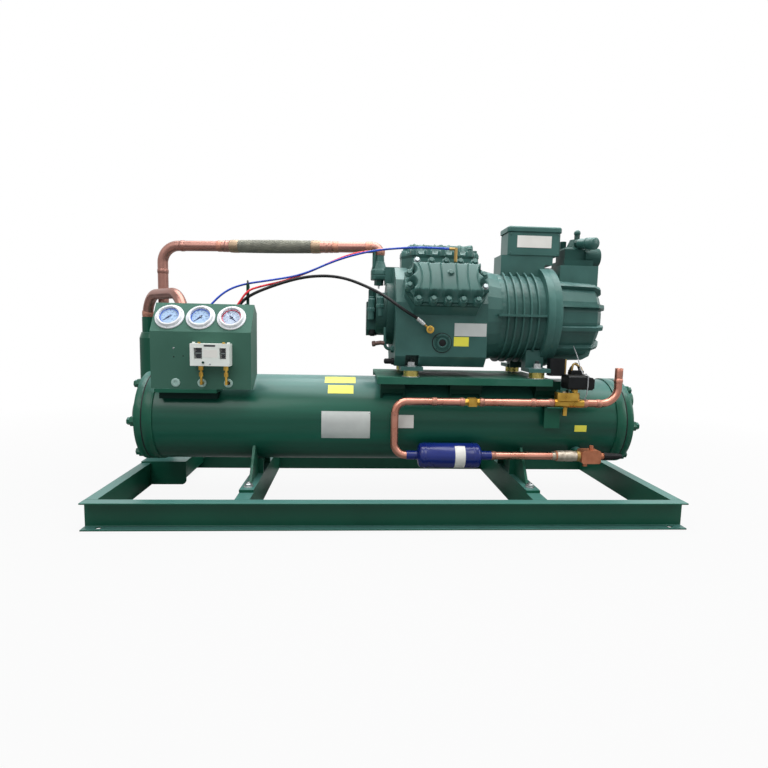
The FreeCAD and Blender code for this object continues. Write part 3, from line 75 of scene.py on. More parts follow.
def make_camera():
    yaw, pitch, roll = (math.radians(a) for a in CAMERA_TURN)
    forward = Vector((math.sin(yaw) * math.cos(pitch), math.cos(yaw) * math.cos(pitch), -math.sin(pitch)))
    flat_right = Vector((math.cos(yaw), -math.sin(yaw), 0.0))
    flat_up = flat_right.cross(forward)
    right = math.cos(roll) * flat_right + math.sin(roll) * flat_up
    up = -math.sin(roll) * flat_right + math.cos(roll) * flat_up
    data = bpy.data.cameras.new("camera")
    data.sensor_width = CAMERA_SENSOR
    data.lens = CAMERA_LENS
    data.clip_start = 0.05
    data.clip_end = 100.0
    camera = bpy.data.objects.new("camera", data)
    turn = Matrix((right, up, -forward)).transposed()
    camera.matrix_world = Matrix.Translation(CAMERA_PLACE) @ turn.to_4x4()
    bpy.context.scene.collection.objects.link(camera)
    bpy.context.scene.camera = camera


make_camera()


# Materials
def linear(rgb):
    out = []
    for c in rgb:
        c = c / 255.0
        out.append(c / 12.92 if c <= 0.04045 else ((c + 0.055) / 1.055) ** 2.4)
    return (out[0], out[1], out[2], 1.0)


COAT_ROUGHNESS = 0.12
GRAIN_DEPTH = 0.0006
# Upward slope, as the normal's height, from which the painted sky sheen starts to show
SHEEN_FROM = 0.55


def fill(node, values):
    for socket, value in values.items():
        node.inputs[socket].default_value = value


def surface(name, base, second, scale=6.0, rough=(0.3, 0.45), metal=0.0, grain=400.0, bump=0.08, coat=0.0,
            stretch=(1.0, 1.0, 1.0), mottle=0.5, specular=0.5, painted_sheen=None):
    """A finish whose tone, roughness and small relief all vary over the surface."""
    material = bpy.data.materials.new(name)
    material.use_nodes = True
    nodes = material.node_tree.nodes
    links = material.node_tree.links
    shader = nodes["Principled BSDF"]
    fill(shader, {"Metallic": metal, "Coat Weight": coat, "Coat Roughness": COAT_ROUGHNESS,
                  "Specular IOR Level": specular})
    place = nodes.new("ShaderNodeTexCoord")
    mapping = nodes.new("ShaderNodeMapping")
    mapping.inputs["Scale"].default_value = stretch
    links.new(place.outputs["Object"], mapping.inputs["Vector"])
    tone = nodes.new("ShaderNodeTexNoise")
    fill(tone, {"Scale": scale, "Detail": 5.0})
    links.new(mapping.outputs["Vector"], tone.inputs["Vector"])
    ramp = nodes.new("ShaderNodeValToRGB")
    ramp.color_ramp.elements[0].position = 0.5 - mottle / 2.0
    ramp.color_ramp.elements[0].color = linear(second)
    ramp.color_ramp.elements[1].position = 0.5 + mottle / 2.0
    ramp.color_ramp.elements[1].color = linear(base)
    links.new(tone.outputs["Fac"], ramp.inputs["Fac"])
    colour = ramp.outputs["Color"]
    # Painted sky sheen: a pale bluish tint mixed in on faces that point upward, standing in for the sky's
    # reflection
    if painted_sheen:
        geometry = nodes.new("ShaderNodeNewGeometry")
        parts = nodes.new("ShaderNodeSeparateXYZ")
        links.new(geometry.outputs["Normal"], parts.inputs["Vector"])
        level = nodes.new("ShaderNodeMapRange")
        fill(level, {"From Min": SHEEN_FROM, "From Max": 1.0, "To Max": painted_sheen[1]})
        links.new(parts.outputs["Z"], level.inputs["Value"])
        mix = nodes.new("ShaderNodeMixRGB")
        mix.inputs["Color2"].default_value = linear(painted_sheen[0])
        links.new(level.outputs["Result"], mix.inputs["Fac"])
        links.new(colour, mix.inputs["Color1"])
        colour = mix.outputs["Color"]
    links.new(colour, shader.inputs["Base Color"])
    fine = nodes.new("ShaderNodeTexNoise")
    fill(fine, {"Scale": grain, "Detail": 3.0})
    links.new(mapping.outputs["Vector"], fine.inputs["Vector"])
    gloss = nodes.new("ShaderNodeMapRange")
    fill(gloss, {"From Min": 0.3, "From Max": 0.7, "To Min": rough[0], "To Max": rough[1]})
    links.new(tone.outputs["Fac"], gloss.inputs["Value"])
    links.new(gloss.outputs["Result"], shader.inputs["Roughness"])
    relief = nodes.new("ShaderNodeBump")
    fill(relief, {"Strength": bump, "Distance": GRAIN_DEPTH})
    links.new(fine.outputs["Fac"], relief.inputs["Height"])
    links.new(relief.outputs["Normal"], shader.inputs["Normal"])
    return material


STRAND_TURN = 0.6


def weave(name, base, second, spacing, depth):
    """Crossed strands wound round a pipe along X, for a braided sleeve."""
    material = surface(name, base, second, 30.0, (0.4, 0.55), 0.5, 300.0, 0.1)
    nodes = material.node_tree.nodes
    links = material.node_tree.links
    place = nodes.new("ShaderNodeTexCoord")
    total = None
    for turn in (STRAND_TURN, -STRAND_TURN):
        mapping = nodes.new("ShaderNodeMapping")
        mapping.inputs["Rotation"].default_value = (0.0, turn, turn)
        links.new(place.outputs["Object"], mapping.inputs["Vector"])
        wave = nodes.new("ShaderNodeTexWave")
        wave.inputs["Scale"].default_value = 1.0 / spacing
        links.new(mapping.outputs["Vector"], wave.inputs["Vector"])
        if total is None:
            total = wave.outputs["Fac"]
        else:
            both = nodes.new("ShaderNodeMath")
            both.operation = "ADD"
            links.new(total, both.inputs[0])
            links.new(wave.outputs["Fac"], both.inputs[1])
            total = both.outputs[0]
    relief = nodes.new("ShaderNodeBump")
    fill(relief, {"Strength": 0.7, "Distance": depth})
    links.new(total, relief.inputs["Height"])
    links.new(relief.outputs["Normal"], nodes["Principled BSDF"].inputs["Normal"])
    return material


def clear(name, tint):
    material = surface(name, tint, tint, 3.0, (0.02, 0.05), 0.0, 200.0, 0.01)
    fill(material.node_tree.nodes["Principled BSDF"], {"Transmission Weight": 1.0, "IOR": 1.1})
    return material


# The pale colour given last to the green, shell, panel and cast finishes is painted sky sheen on their upward
# faces
GREEN = surface("green_gloss", (18, 88, 67), (13, 74, 56), 3.0, (0.3, 0.42), grain=260.0, bump=0.05,
                coat=0.06, specular=0.26, painted_sheen=((132, 182, 184), 0.26))
# The shell's tone varies at random and is also drawn out into lengthwise streaks, which are painted
# reflection streaks
SHELL = surface("shell_green", (20, 92, 73), (9, 64, 50), 16.0, (0.28, 0.46), grain=260.0, bump=0.05,
                coat=0.08, stretch=(0.06, 1.0, 1.0), specular=0.28, painted_sheen=((132, 182, 184), 0.3))
GREEN_DARK = surface("green_shade", (14, 60, 47), (10, 48, 38), 4.0, (0.34, 0.5), grain=260.0, bump=0.05,
                     specular=0.15)
DECK = surface("deck_green", (34, 92, 74), (54, 104, 88), 12.0, (0.46, 0.64), grain=260.0, bump=0.08,
               specular=0.1)
PANEL = surface("panel_green", (62, 102, 88), (54, 93, 79), 5.0, (0.4, 0.52), grain=500.0, bump=0.05,
                specular=0.2, painted_sheen=((138, 184, 176), 0.5))
# Near-black green, painted shadow for the panel bracket's pillar
PAINTED_SHADOW_GREEN = surface("painted_shadow_green", (8, 38, 32), (6, 30, 26), 5.0, (0.5, 0.6), grain=300.0, bump=0.05, specular=0.1)
CAST = surface("cast_green", (60, 102, 96), (44, 82, 76), 9.0, (0.3, 0.46), grain=420.0, bump=0.3, coat=0.04,
               specular=0.3, painted_sheen=((142, 178, 178), 0.28))
CAST_DARK = surface("cast_dark", (36, 76, 70), (26, 58, 53), 9.0, (0.4, 0.55), grain=420.0, bump=0.3,
                    specular=0.2)
GASKET = surface("gasket_fibre", (30, 42, 42), (20, 30, 32), 20.0, (0.7, 0.85), grain=900.0, bump=0.3)
COPPER = surface("copper", (212, 154, 136), (176, 112, 92), 14.0, (0.2, 0.4), 0.92, 180.0, 0.12, mottle=0.7)
COPPER_DULL = surface("copper_dulled", (178, 132, 120), (120, 86, 78), 9.0, (0.26, 0.48), 0.86, 180.0, 0.15,
                      mottle=0.8)
COPPER_WORN = surface("copper_brazed", (196, 140, 120), (138, 98, 84), 40.0, (0.35, 0.6), 0.75, 200.0, 0.25)
FERRULE = surface("dull_ferrule", (168, 142, 120), (124, 110, 86), 26.0, (0.4, 0.58), 0.6, 220.0, 0.2,
                  mottle=0.8)
TIE = surface("cable_tie", (24, 26, 28), (14, 15, 17), 30.0, (0.4, 0.5), 0.0, 500.0, 0.05, specular=0.3)
LEAD = surface("grey_lead", (176, 178, 180), (142, 144, 148), 40.0, (0.4, 0.5), 0.0, 500.0, 0.05)
GROMMET = surface("pale_grommet", (158, 188, 180), (136, 166, 158), 20.0, (0.4, 0.5), 0.0, 500.0, 0.05)
POINTER = surface("pointer_grey", (126, 136, 134), (98, 104, 104), 30.0, (0.4, 0.5), 0.0, 400.0, 0.05)
BRASS = surface("brass", (214, 176, 84), (176, 134, 52), 30.0, (0.25, 0.42), 0.85, 300.0, 0.15)
BRASS_DULL = surface("brass_dulled", (178, 150, 92), (138, 112, 62), 30.0, (0.32, 0.5), 0.75, 300.0, 0.15)
BROWNED = surface("browned_copper", (104, 76, 68), (70, 52, 48), 30.0, (0.45, 0.6), 0.4, 300.0, 0.2)
BRONZE = surface("forged_copper", (196, 128, 96), (158, 96, 68), 30.0, (0.4, 0.6), 0.6, 300.0, 0.25)
ZINC = surface("yellow_zinc", (214, 200, 120), (176, 160, 84), 25.0, (0.2, 0.34), 0.9, 200.0, 0.08)
STEEL = surface("bright_steel", (205, 208, 208), (160, 164, 166), 40.0, (0.22, 0.4), 0.9, 400.0, 0.1)
STEEL_DULL = surface("dull_steel", (158, 166, 168), (120, 128, 130), 40.0, (0.38, 0.52), 0.8, 400.0, 0.1)
SOLDER = surface("solder", (200, 192, 178), (150, 136, 118), 60.0, (0.3, 0.5), 0.7, 300.0, 0.3)
BLUE = surface("drier_blue", (14, 38, 120), (8, 26, 96), 8.0, (0.22, 0.34), 0.0, 350.0, 0.06, coat=0.2,
               specular=0.35)
RUBBER = surface("black_rubber", (14, 15, 17), (8, 8, 10), 25.0, (0.42, 0.55), 0.0, 700.0, 0.2, specular=0.25)
BLACK_PLASTIC = surface("black_plastic", (17, 20, 22), (11, 13, 15), 25.0, (0.4, 0.55), 0.0, 700.0, 0.15,
                        specular=0.2)
HOSE_BLUE = surface("blue_hose_skin", (30, 76, 190), (22, 56, 158), 30.0, (0.3, 0.42), 0.0, 800.0, 0.1,
                    specular=0.3)
HOSE_RED = surface("red_hose_skin", (216, 38, 52), (186, 26, 40), 30.0, (0.3, 0.42), 0.0, 800.0, 0.1,
                   specular=0.3)
BRAID = weave("braided_steel", (140, 140, 126), (98, 100, 92), 0.0042, 0.0011)
WHITE = surface("white_enamel", (224, 226, 229), (212, 214, 218), 12.0, (0.22, 0.32), 0.0, 500.0, 0.04)
CREAM = surface("control_case", (230, 234, 228), (214, 220, 214), 10.0, (0.32, 0.42), 0.0, 500.0, 0.06)
DARK_PLATE = surface("scale_plate", (34, 40, 44), (24, 28, 32), 40.0, (0.4, 0.5), 0.0, 300.0, 0.05)
DIAL_BLUE = surface("dial_blue", (158, 180, 204), (146, 172, 200), 40.0, (0.4, 0.5), 0.0, 300.0, 0.02)
DIAL_EDGE = surface("dial_blue_edge", (78, 116, 200), (66, 100, 184), 40.0, (0.4, 0.5), 0.0, 300.0, 0.02)
DIAL_PALE = surface("dial_pale", (170, 180, 194), (160, 172, 190), 40.0, (0.4, 0.5), 0.0, 300.0, 0.02)
DIAL_RED = surface("dial_red_edge", (196, 70, 90), (176, 54, 76), 40.0, (0.4, 0.5), 0.0, 300.0, 0.02)
INK = surface("scale_ink", (34, 44, 90), (26, 34, 76), 40.0, (0.5, 0.6), 0.0, 300.0, 0.02)
LABEL_YELLOW = surface("label_yellow", (238, 232, 84), (226, 218, 70), 14.0, (0.35, 0.45), 0.0, 300.0, 0.03)
LABEL_SILVER = surface("label_silver", (204, 208, 204), (186, 190, 188), 14.0, (0.3, 0.42), 0.35, 300.0, 0.03)
LABEL_WHITE = surface("label_white", (232, 230, 224), (216, 214, 208), 14.0, (0.35, 0.45), 0.0, 300.0, 0.03)
GLASS = clear("clear_lens", (250, 252, 255))


# Mesh helpers, in millimetres until a piece is finished
class Piece:
    """Collects solids of one piece, each face with the number of its material."""

    def __init__(self, name, *materials):
        self.name = name
        self.materials = materials
        self.mesh = bmesh.new()
        self.turn = Matrix.Identity(4)

    def point(self, p):
        return self.mesh.verts.new(self.turn @ Vector(p))

    def faces(self, loops, finish=0, smooth=True):
        for loop in loops:
            face = self.mesh.faces.new(loop)
            face.material_index = finish
            face.smooth = smooth

    def band(self, rings, finish=0, smooth=True):
        """Joins each ring of points to the next."""
        n = len(rings[0])
        for near, far in zip(rings, rings[1:]):
            loops = [[near[i], near[(i + 1) % n], far[(i + 1) % n], far[i]] for i in range(n)]
            self.faces(loops, finish, smooth)

    def tube(self, rings, finish=0, smooth=True):
        """Joins rings of points and closes both ends."""
        self.band(rings, finish, smooth)
        self.faces([list(reversed(rings[0])), rings[-1]], finish, smooth)

    def lathe(self, start, axis, profile, finish=0, sides=48, spin=0.0, closed=True):
        """Revolves (distance, radius) pairs about an axis from start."""
        start = Vector(start)
        axis = Vector(axis).normalized()
        across = axis.orthogonal().normalized()
        if abs(axis.x) > 0.9:
            across = Vector((0.0, 0.0, 1.0))
        if abs(axis.y) > 0.9 or abs(axis.z) > 0.9:
            across = Vector((1.0, 0.0, 0.0))
        across = (across - axis * across.dot(axis)).normalized()
        other = axis.cross(across)
        rings = []
        for t, r in profile:
            ring = []
            for i in range(sides):
                a = math.tau * i / sides + spin
                out = across * (r * math.cos(a)) + other * (r * math.sin(a))
                ring.append(self.point(start + axis * t + out))
            rings.append(ring)
        if closed:
            self.tube(rings, finish)
        else:
            self.band(rings, finish)

    def hexagon(self, place, axis, flats, height, finish=0, spin=0.0):
        """A bolt head or nut with its chamfered top."""
        r = flats / 2.0 / math.cos(math.pi / 6.0)
        top = flats / 2.0 * 0.96
        shoulder = height - (r - top) * 0.7
        profile = [(0.0, r), (shoulder, r), (height, top), (height, top * 0.55)]
        self.lathe(place, axis, profile, finish, 6, spin)

    def block(self, low, high, finish=0):
        xs, ys, zs = zip(low, high)
        c = [self.point((x, y, z)) for z in zs for y in ys for x in xs]
        for side in ((0, 2, 3, 1), (4, 5, 7, 6), (0, 1, 5, 4), (2, 6, 7, 3), (0, 4, 6, 2), (1, 3, 7, 5)):
            self.faces([[c[i] for i in side]], finish, False)

    def prism(self, corners, push, finish=0):
        push = Vector(push)
        near = [self.point(p) for p in corners]
        far = [self.point(Vector(p) + push) for p in corners]
        self.tube([near, far], finish, False)

    def sweep(self, path, radius, finish=0, sides=10):
        """A round bar along a path of points."""
        pts = [Vector(p) for p in path]
        side = None
        rings = []
        for i, p in enumerate(pts):
            along = (pts[min(i + 1, len(pts) - 1)] - pts[max(i - 1, 0)]).normalized()
            side = along.orthogonal() if side is None else side
            side = (side - along * side.dot(along)).normalized()
            other = along.cross(side)
            ring = []
            for k in range(sides):
                a = math.tau * k / sides
                ring.append(self.point(p + side * (radius * math.cos(a)) + other * (radius * math.sin(a))))
            rings.append(ring)
        self.tube(rings, finish)

    def finish(self, body="unit", replaces=(), bevel=0.0, angle=35.0):
        bmesh.ops.recalc_face_normals(self.mesh, faces=self.mesh.faces)
        data = bpy.data.meshes.new(self.name)
        self.mesh.to_mesh(data)
        self.mesh.free()
        data.transform(Matrix.Scale(MM, 4))
        for material in self.materials:
            data.materials.append(material)
        data.set_sharp_from_angle(angle=math.radians(angle))
        obj = bpy.data.objects.new(self.name, data)
        bpy.context.scene.collection.objects.link(obj)
        if bevel:
            soften(obj, bevel, angle=angle)
        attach(obj, body)
        if replaces:
            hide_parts(*replaces)


WELD_REACH = 0.00002
BEND_STEPS = 14


def soften(obj, width, segments=2, angle=35.0, weld=False):
    """Rounds the sharp edges of a piece."""
    if weld:
        join = obj.modifiers.new("weld", "WELD")
        join.merge_threshold = WELD_REACH
    rounding = obj.modifiers.new("rounding", "BEVEL")
    rounding.width = width * MM
    rounding.segments = segments
    rounding.limit_method = "ANGLE"
    rounding.angle_limit = math.radians(angle)
    rounding.harden_normals = True
    rounding.use_clamp_overlap = True


def corner_path(points, bends):
    """Straight runs joined by arcs of the given radii, for rigid pipe."""
    pts = [Vector(p) for p in points]
    out = [pts[0]]
    for i in range(1, len(pts) - 1):
        before = (pts[i - 1] - pts[i]).normalized()
        after = (pts[i + 1] - pts[i]).normalized()
        half = math.acos(max(-1.0, min(1.0, before.dot(after)))) / 2.0
        r = bends[i - 1]
        back = r / math.tan(half)
        centre = pts[i] + (before + after).normalized() * (r / math.sin(half))
        first = pts[i] + before * back - centre
        last = pts[i] + after * back - centre
        whole = first.angle(last)
        for k in range(BEND_STEPS + 1):
            t = k / BEND_STEPS
            swing = first * math.sin((1 - t) * whole) + last * math.sin(t * whole)
            out.append(centre + swing / math.sin(whole))
    out.append(pts[-1])
    return out


# Hoses
BLUE_POINTS = [(-757, -118.8, 657.3), (-712, -103, 667), (-665, -85, 731), (-618, -58, 784), (-556, -45, 812),
               (-450, -48, 829), (-335, -58, 850), (-205, -80, 908), (-80, -108, 940), (45, -145, 949),
               (130, -173, 947), (190, -183, 943)]
RED_POINTS = [(-650, -118.8, 657.3), (-608, -104, 668), (-563, -98, 734), (-533, -80, 786), (-496, -55, 803),
              (-400, -40, 828), (-300, -40, 868), (-190, -8, 926), (-125, 20, 950), (-88, 48, 958)]
BLACK_POINTS = [(-573, -101.6, 681.9), (-573, -71.8, 724.5), (-532, -68, 768), (-453, -62, 804),
                (-343, -66, 840), (-250, -80, 849), (-176, -108, 839), (-104, -146, 811), (-34, -192, 774),
                (35, -222, 722), (79, -215, 698)]
THIN_HOSE_R = 3.8
THICK_HOSE_R = 5.5


def hose(name, points, radius, material, node):
    data = bpy.data.curves.new(name, "CURVE")
    data.dimensions = "3D"
    spline = data.splines.new("NURBS")
    spline.points.add(len(points) - 1)
    for p, c in zip(spline.points, points):
        p.co = (c[0] * MM, c[1] * MM, c[2] * MM, 1.0)
    spline.order_u = 3
    spline.use_endpoint_u = True
    spline.resolution_u = 10
    data.bevel_depth = radius * MM
    data.bevel_resolution = 5
    data.use_fill_caps = True
    data.materials.append(material)
    obj = bpy.data.objects.new(name, data)
    bpy.context.scene.collection.objects.link(obj)
    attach(obj, "unit")
    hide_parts(node)


hose("hose_blue", BLUE_POINTS, THIN_HOSE_R, HOSE_BLUE, "blue_hose")
hose("hose_red", RED_POINTS, THIN_HOSE_R, HOSE_RED, "red_hose")
hose("hose_black", BLACK_POINTS, THICK_HOSE_R, RUBBER, "black_hose")


# Finishes of the CAD nodes, and the widths of their rounded edges
FINISHES = (
    (GREEN, "base_long_channels base_cross_channels separator_base condenser_saddles tube_sheets end_covers"),
    (GREEN, "oil_separator solenoid_bracket"),
    (SHELL, "condenser_shell"),
    (DECK, "compressor_deck"),
    # The deck supports are darkened as painted shade under the deck's overhang
    (GREEN_DARK, "deck_supports panel_bracket reset_button"),
    (PANEL, "control_panel"),
    (CAST, "compressor_body motor_end_cover cylinder_heads terminal_box terminal_box_lid discharge_valve"),
    (CAST, "suction_valve_cap"),
    # The suction valve takes the darker cast finish as painted shade over its whole body
    (CAST_DARK, "valve_plates oil_pump_cover oil_sight_glass suction_valve"),
    (STEEL, "large_bolts head_bolts crankshaft motor_rotor motor_stator discharge_valve_stem"),
    (STEEL, "suction_valve_stem liquid_valve_stem"),
    (ZINC, "compressor_mounts"),
    (COPPER, "condenser_tubes discharge_pipes liquid_pipes"),
    (BRAID, "vibration_eliminator"),
    (BRONZE, "liquid_valve"),
    (BRASS, "liquid_indicator solenoid_valve low_pressure_screw high_pressure_screw control_fittings"),
    (BRASS_DULL, "hose_fittings"),
    (BLUE, "filter_drier"),
    (RUBBER, "cover_gaskets liquid_valve_cap"),
    (BLACK_PLASTIC, "solenoid_coil"),
    (WHITE, "gauge_cases"),
    (GLASS, "gauge_lenses"),
    (INK, "gauge_needle_left gauge_needle_middle gauge_needle_right"),
    (CREAM, "pressure_control"),
    (POINTER, "low_pressure_pointer high_pressure_pointer"),
)
ROUNDED = (
    (5.0, "terminal_box terminal_box_lid"),
    (4.0, "compressor_body"),
    (3.0, "suction_valve solenoid_coil"),
    (2.5, "motor_end_cover oil_pump_cover"),
    (2.0, "liquid_valve"),
    (1.5, "base_long_channels base_cross_channels compressor_deck pressure_control end_covers"),
    (1.2, "condenser_saddles deck_supports control_panel"),
    (1.0, "separator_base tube_sheets solenoid_valve liquid_indicator"),
    (0.8, "solenoid_bracket"),
)
for material, names in FINISHES:
    for node in names.split():
        NODES[node].data.materials.clear()
        NODES[node].data.materials.append(material)
for width, names in ROUNDED:
    for node in names.split():
        soften(NODES[node], width, 3 if width > 2.0 else 2, 30.0, True)


# Cylinder heads: crowned castings with bowed ribs and a boss in a hollow round every bolt
BOSS_PITCH = 52.0
BOSS_ROW = 80.0
END_BOSS = (133.0, 26.0)
HEAD_BOLTS = [(BOSS_PITCH * i, BOSS_ROW * side) for i in range(-2, 3) for side in (-1, 1)]
HEAD_BOLTS += [(END_BOSS[0] * end, END_BOSS[1] * side) for end in (-1, 1) for side in (-1, 1)]
BRIGHT_BOLTS = ((-104.0, 80.0), (133.0, -26.0))
HEAD_EYE = (9.0, 12.0)
HEAD_HALF_X = 148.0
HEAD_HALF_Y = 82.0
HEAD_CORNER_X = 104.0
HEAD_END_HALF = 36.0
HEAD_RIM = 14.0
HEAD_CROWN = 32.0
HEAD_COLUMNS = 180
HEAD_ROWS = 60
BOSS_R = 15.5
BOSS_HOLLOW_R = 27.0
BOSS_TOP = 21.0
# Ribs as (place along the head, bow)
HEAD_RIBS = ((-92.0, -26.0), (-62.0, -12.0), (-23.0, -4.0), (30.0, 1.0), (68.0, 11.0), (102.0, 28.0))


def bank_turn(angle, x, z):
    """Frame of a cylinder bank, tilted about the crankshaft."""
    return (Matrix.Translation((0.0, 0.0, CRANK_Z)) @ Matrix.Rotation(math.radians(angle), 4, "X")
            @ Matrix.Translation((x, 0.0, z)))


def ease(low, high, value):
    t = max(0.0, min(1.0, (value - low) / (high - low)))
    return t * t * (3.0 - 2.0 * t)


def head_reach(x):
    """Half width of a head at x from its middle, scalloped round the bosses."""
    x = abs(x)
    reach = HEAD_HALF_Y
    if x >= HEAD_CORNER_X:
        reach = max(HEAD_END_HALF, HEAD_HALF_Y - (x - HEAD_CORNER_X) * 1.42)
    for place, row in ((0.0, BOSS_ROW), (BOSS_PITCH, BOSS_ROW), (2.0 * BOSS_PITCH, BOSS_ROW), END_BOSS):
        if abs(x - place) < BOSS_R - 0.1:
            reach = max(reach, row + math.sqrt(BOSS_R ** 2 - (x - place) ** 2))
    return reach


def head_height(x, y, reach):
    """Height of a head's top over its seat: rim, crown, ribs, hollows and bosses."""
    from_end = HEAD_HALF_X - abs(x)
    inward = min(reach - abs(y), from_end, from_end * 0.82 + (92.0 - abs(y)) * 0.57 - 18.0)
    arch = (y / BOSS_ROW) ** 2
    z = HEAD_RIM + HEAD_CROWN * ease(0.0, 30.0, inward) - 7.0 * arch
    for place, bow in HEAD_RIBS:
        off = x - place - bow * arch
        z += 4.2 * math.exp(-(off / 2.0) ** 2) * ease(8.0, 16.0, inward)
    for bx, by in HEAD_BOLTS:
        r = math.hypot(x - bx, y - by)
        if r < BOSS_HOLLOW_R:
            z = min(z, HEAD_RIM + (z - HEAD_RIM) * ease(14.5, BOSS_HOLLOW_R, r))
        if r < BOSS_R:
            z = max(z, HEAD_RIM + (BOSS_TOP - HEAD_RIM) * (1.0 - ease(12.6, BOSS_R, r)))
    r = math.hypot(x - HEAD_EYE[0], y - HEAD_EYE[1])
    return z + 4.0 * (1.0 - ease(8.0, 13.0, r))


def cylinder_heads():
    heads = Piece("cylinder_head_castings", CAST)
    bolts = Piece("head_bolt_set", CAST, STEEL_DULL)
    columns = [-148.3 + 296.6 * i / HEAD_COLUMNS for i in range(HEAD_COLUMNS + 1)]
    for angle in BANKS:
        heads.turn = bank_turn(angle, HEAD_MIDDLE_X, HEAD_SEAT)
        grid = []
        for x in columns:
            reach = head_reach(x)
            line = [heads.point((x, -reach, 0.0))]
            for j in range(HEAD_ROWS + 1):
                y = reach * (2.0 * j / HEAD_ROWS - 1.0)
                line.append(heads.point((x, y, head_height(x, y, reach))))
            line.append(heads.point((x, reach, 0.0)))
            grid.append(line)
        for a, b in zip(grid, grid[1:]):
            heads.faces([[a[j], b[j], b[j + 1], a[j + 1]] for j in range(HEAD_ROWS + 2)])
        heads.faces([grid[0], list(reversed(grid[-1]))])
        bolts.turn = heads.turn
        for x, y in HEAD_BOLTS:
            finish = 1 if angle == BANKS[0] and (x, y) in BRIGHT_BOLTS else 0
            spin = 0.3 * x + 0.7 * y
            bolts.lathe((x, y, BOSS_TOP - 0.5), UP, [(0, 10.6), (1.6, 10.6), (2.0, 10.0)], finish, 24)
            bolts.hexagon((x, y, BOSS_TOP + 1.4), UP, 17.0, 8.0, finish, spin)
        bolts.hexagon(HEAD_EYE + (47.0,), UP, 17.0, 8.0, 0, 0.4)
    heads.finish(replaces=["cylinder_heads"], angle=50.0)
    bolts.finish(replaces=["head_bolts"])


cylinder_heads()


# Panel bracket, its pillar set back under the plate and coloured near-black as painted shadow
def panel_bracket():
    piece = Piece("panel_bracket_plate", GREEN, PAINTED_SHADOW_GREEN)
    piece.block((-834.0, -192.0, 420.0), (-620.0, -90.0, 433.9), 0)
    # The pillar's near-black colour is painted shadow under the plate
    piece.block((-826.0, -168.0, 396.0), (-624.0, -95.0, 421.0), 1)
    piece.finish(replaces=["panel_bracket"], bevel=1.0)


panel_bracket()


# Large bolts: painted ones round the covers, steel ones on the saddles and the compressor's feet
COVER_BOLTS = 6
COVER_BOLT_R = 147.0


def large_bolts():
    bolts = Piece("large_bolt_set", GREEN, STEEL, GASKET)
    for i in range(COVER_BOLTS):
        a = math.tau * i / COVER_BOLTS
        y = -COVER_BOLT_R * math.cos(a)
        z = SHELL_Z + COVER_BOLT_R * math.sin(a)
        for side in (-1.0, 1.0):
            bolts.lathe((side * 932.8, y, z), (side, 0, 0), [(0, 15.5), (1.8, 15.5), (2.2, 14.6)], 0, 28)
            bolts.hexagon((side * 934.5, y, z), (side, 0, 0), 24.0, 12.0, 0, 0.3 * i)
    for x, y in SADDLE_BOLTS:
        bolts.lathe((x, y, 101.9), UP, [(0, 17.0), (2.4, 17.0), (2.8, 16.2)], 1, 32)
        bolts.hexagon((x, y, 104.4), UP, 24.0, 9.5, 1, 0.2)
        bolts.lathe((x, y, 113.8), UP, [(0, 6.0), (4.0, 6.0), (5.0, 5.2)], 1, 20)
    for x, y in FEET:
        bolts.lathe((x, y, 523.9), UP, [(0, 20.0), (3.4, 20.0), (4.0, 19.2)], 1, 36)
        bolts.hexagon((x, y, 527.8), UP, 24.0, 14.2, 1, 0.4)
        bolts.lathe((x, y, 541.8), UP, [(0, 7.2), (9.0, 7.2), (10.0, 6.2)], 2, 20)
    bolts.finish(replaces=["large_bolts"])


large_bolts()


# Copper pipes
PIPE_SIDES = 32


def pipe(piece, points, bends, radius):
    piece.sweep(corner_path(points, bends), radius, 0, PIPE_SIDES)


def collar(piece, place, axis, radius, length, finish=1):
    """A brazed joint: a short socket slightly wider than the pipe, with a rounded bead at each side."""
    profile = [(-2.5, 0.0), (-0.8, 1.3), (1.0, 1.0), (3.0, 1.7), (length - 3.0, 1.7), (length - 1.0, 0.9),
               (length + 1.0, 1.2), (length + 3.0, 0.0)]
    piece.lathe(place, axis, [(t, radius + proud) for t, proud in profile], finish, PIPE_SIDES)


HOT_TURN = Vector((-42.0, 100.0, 982.0))
HOT_CORNER = Vector((-942.0, 238.0, 982.0))
HOT_ALONG = (HOT_CORNER - HOT_TURN).normalized()
# The first sleeve's run up to its ferrule, as the other sleeve's is scaled from it
PLAIN_RUN = 50.0
SLEEVE_RINGS = [(0, 21.6), (1.5, 23.2), (14, 23.2), (16, 22.2), (19, 22.2), (21, 23.6),
                (34, 23.6), (36, 22.8), (40, 22.8), (44, 23.4), (PLAIN_RUN, 23.4)]
BRAID_START = 276.0
BRAID_LENGTH = 305.0
BRAID_R = 24.7
BRAID_STEPS = 156
BRAID_SIDES = 72


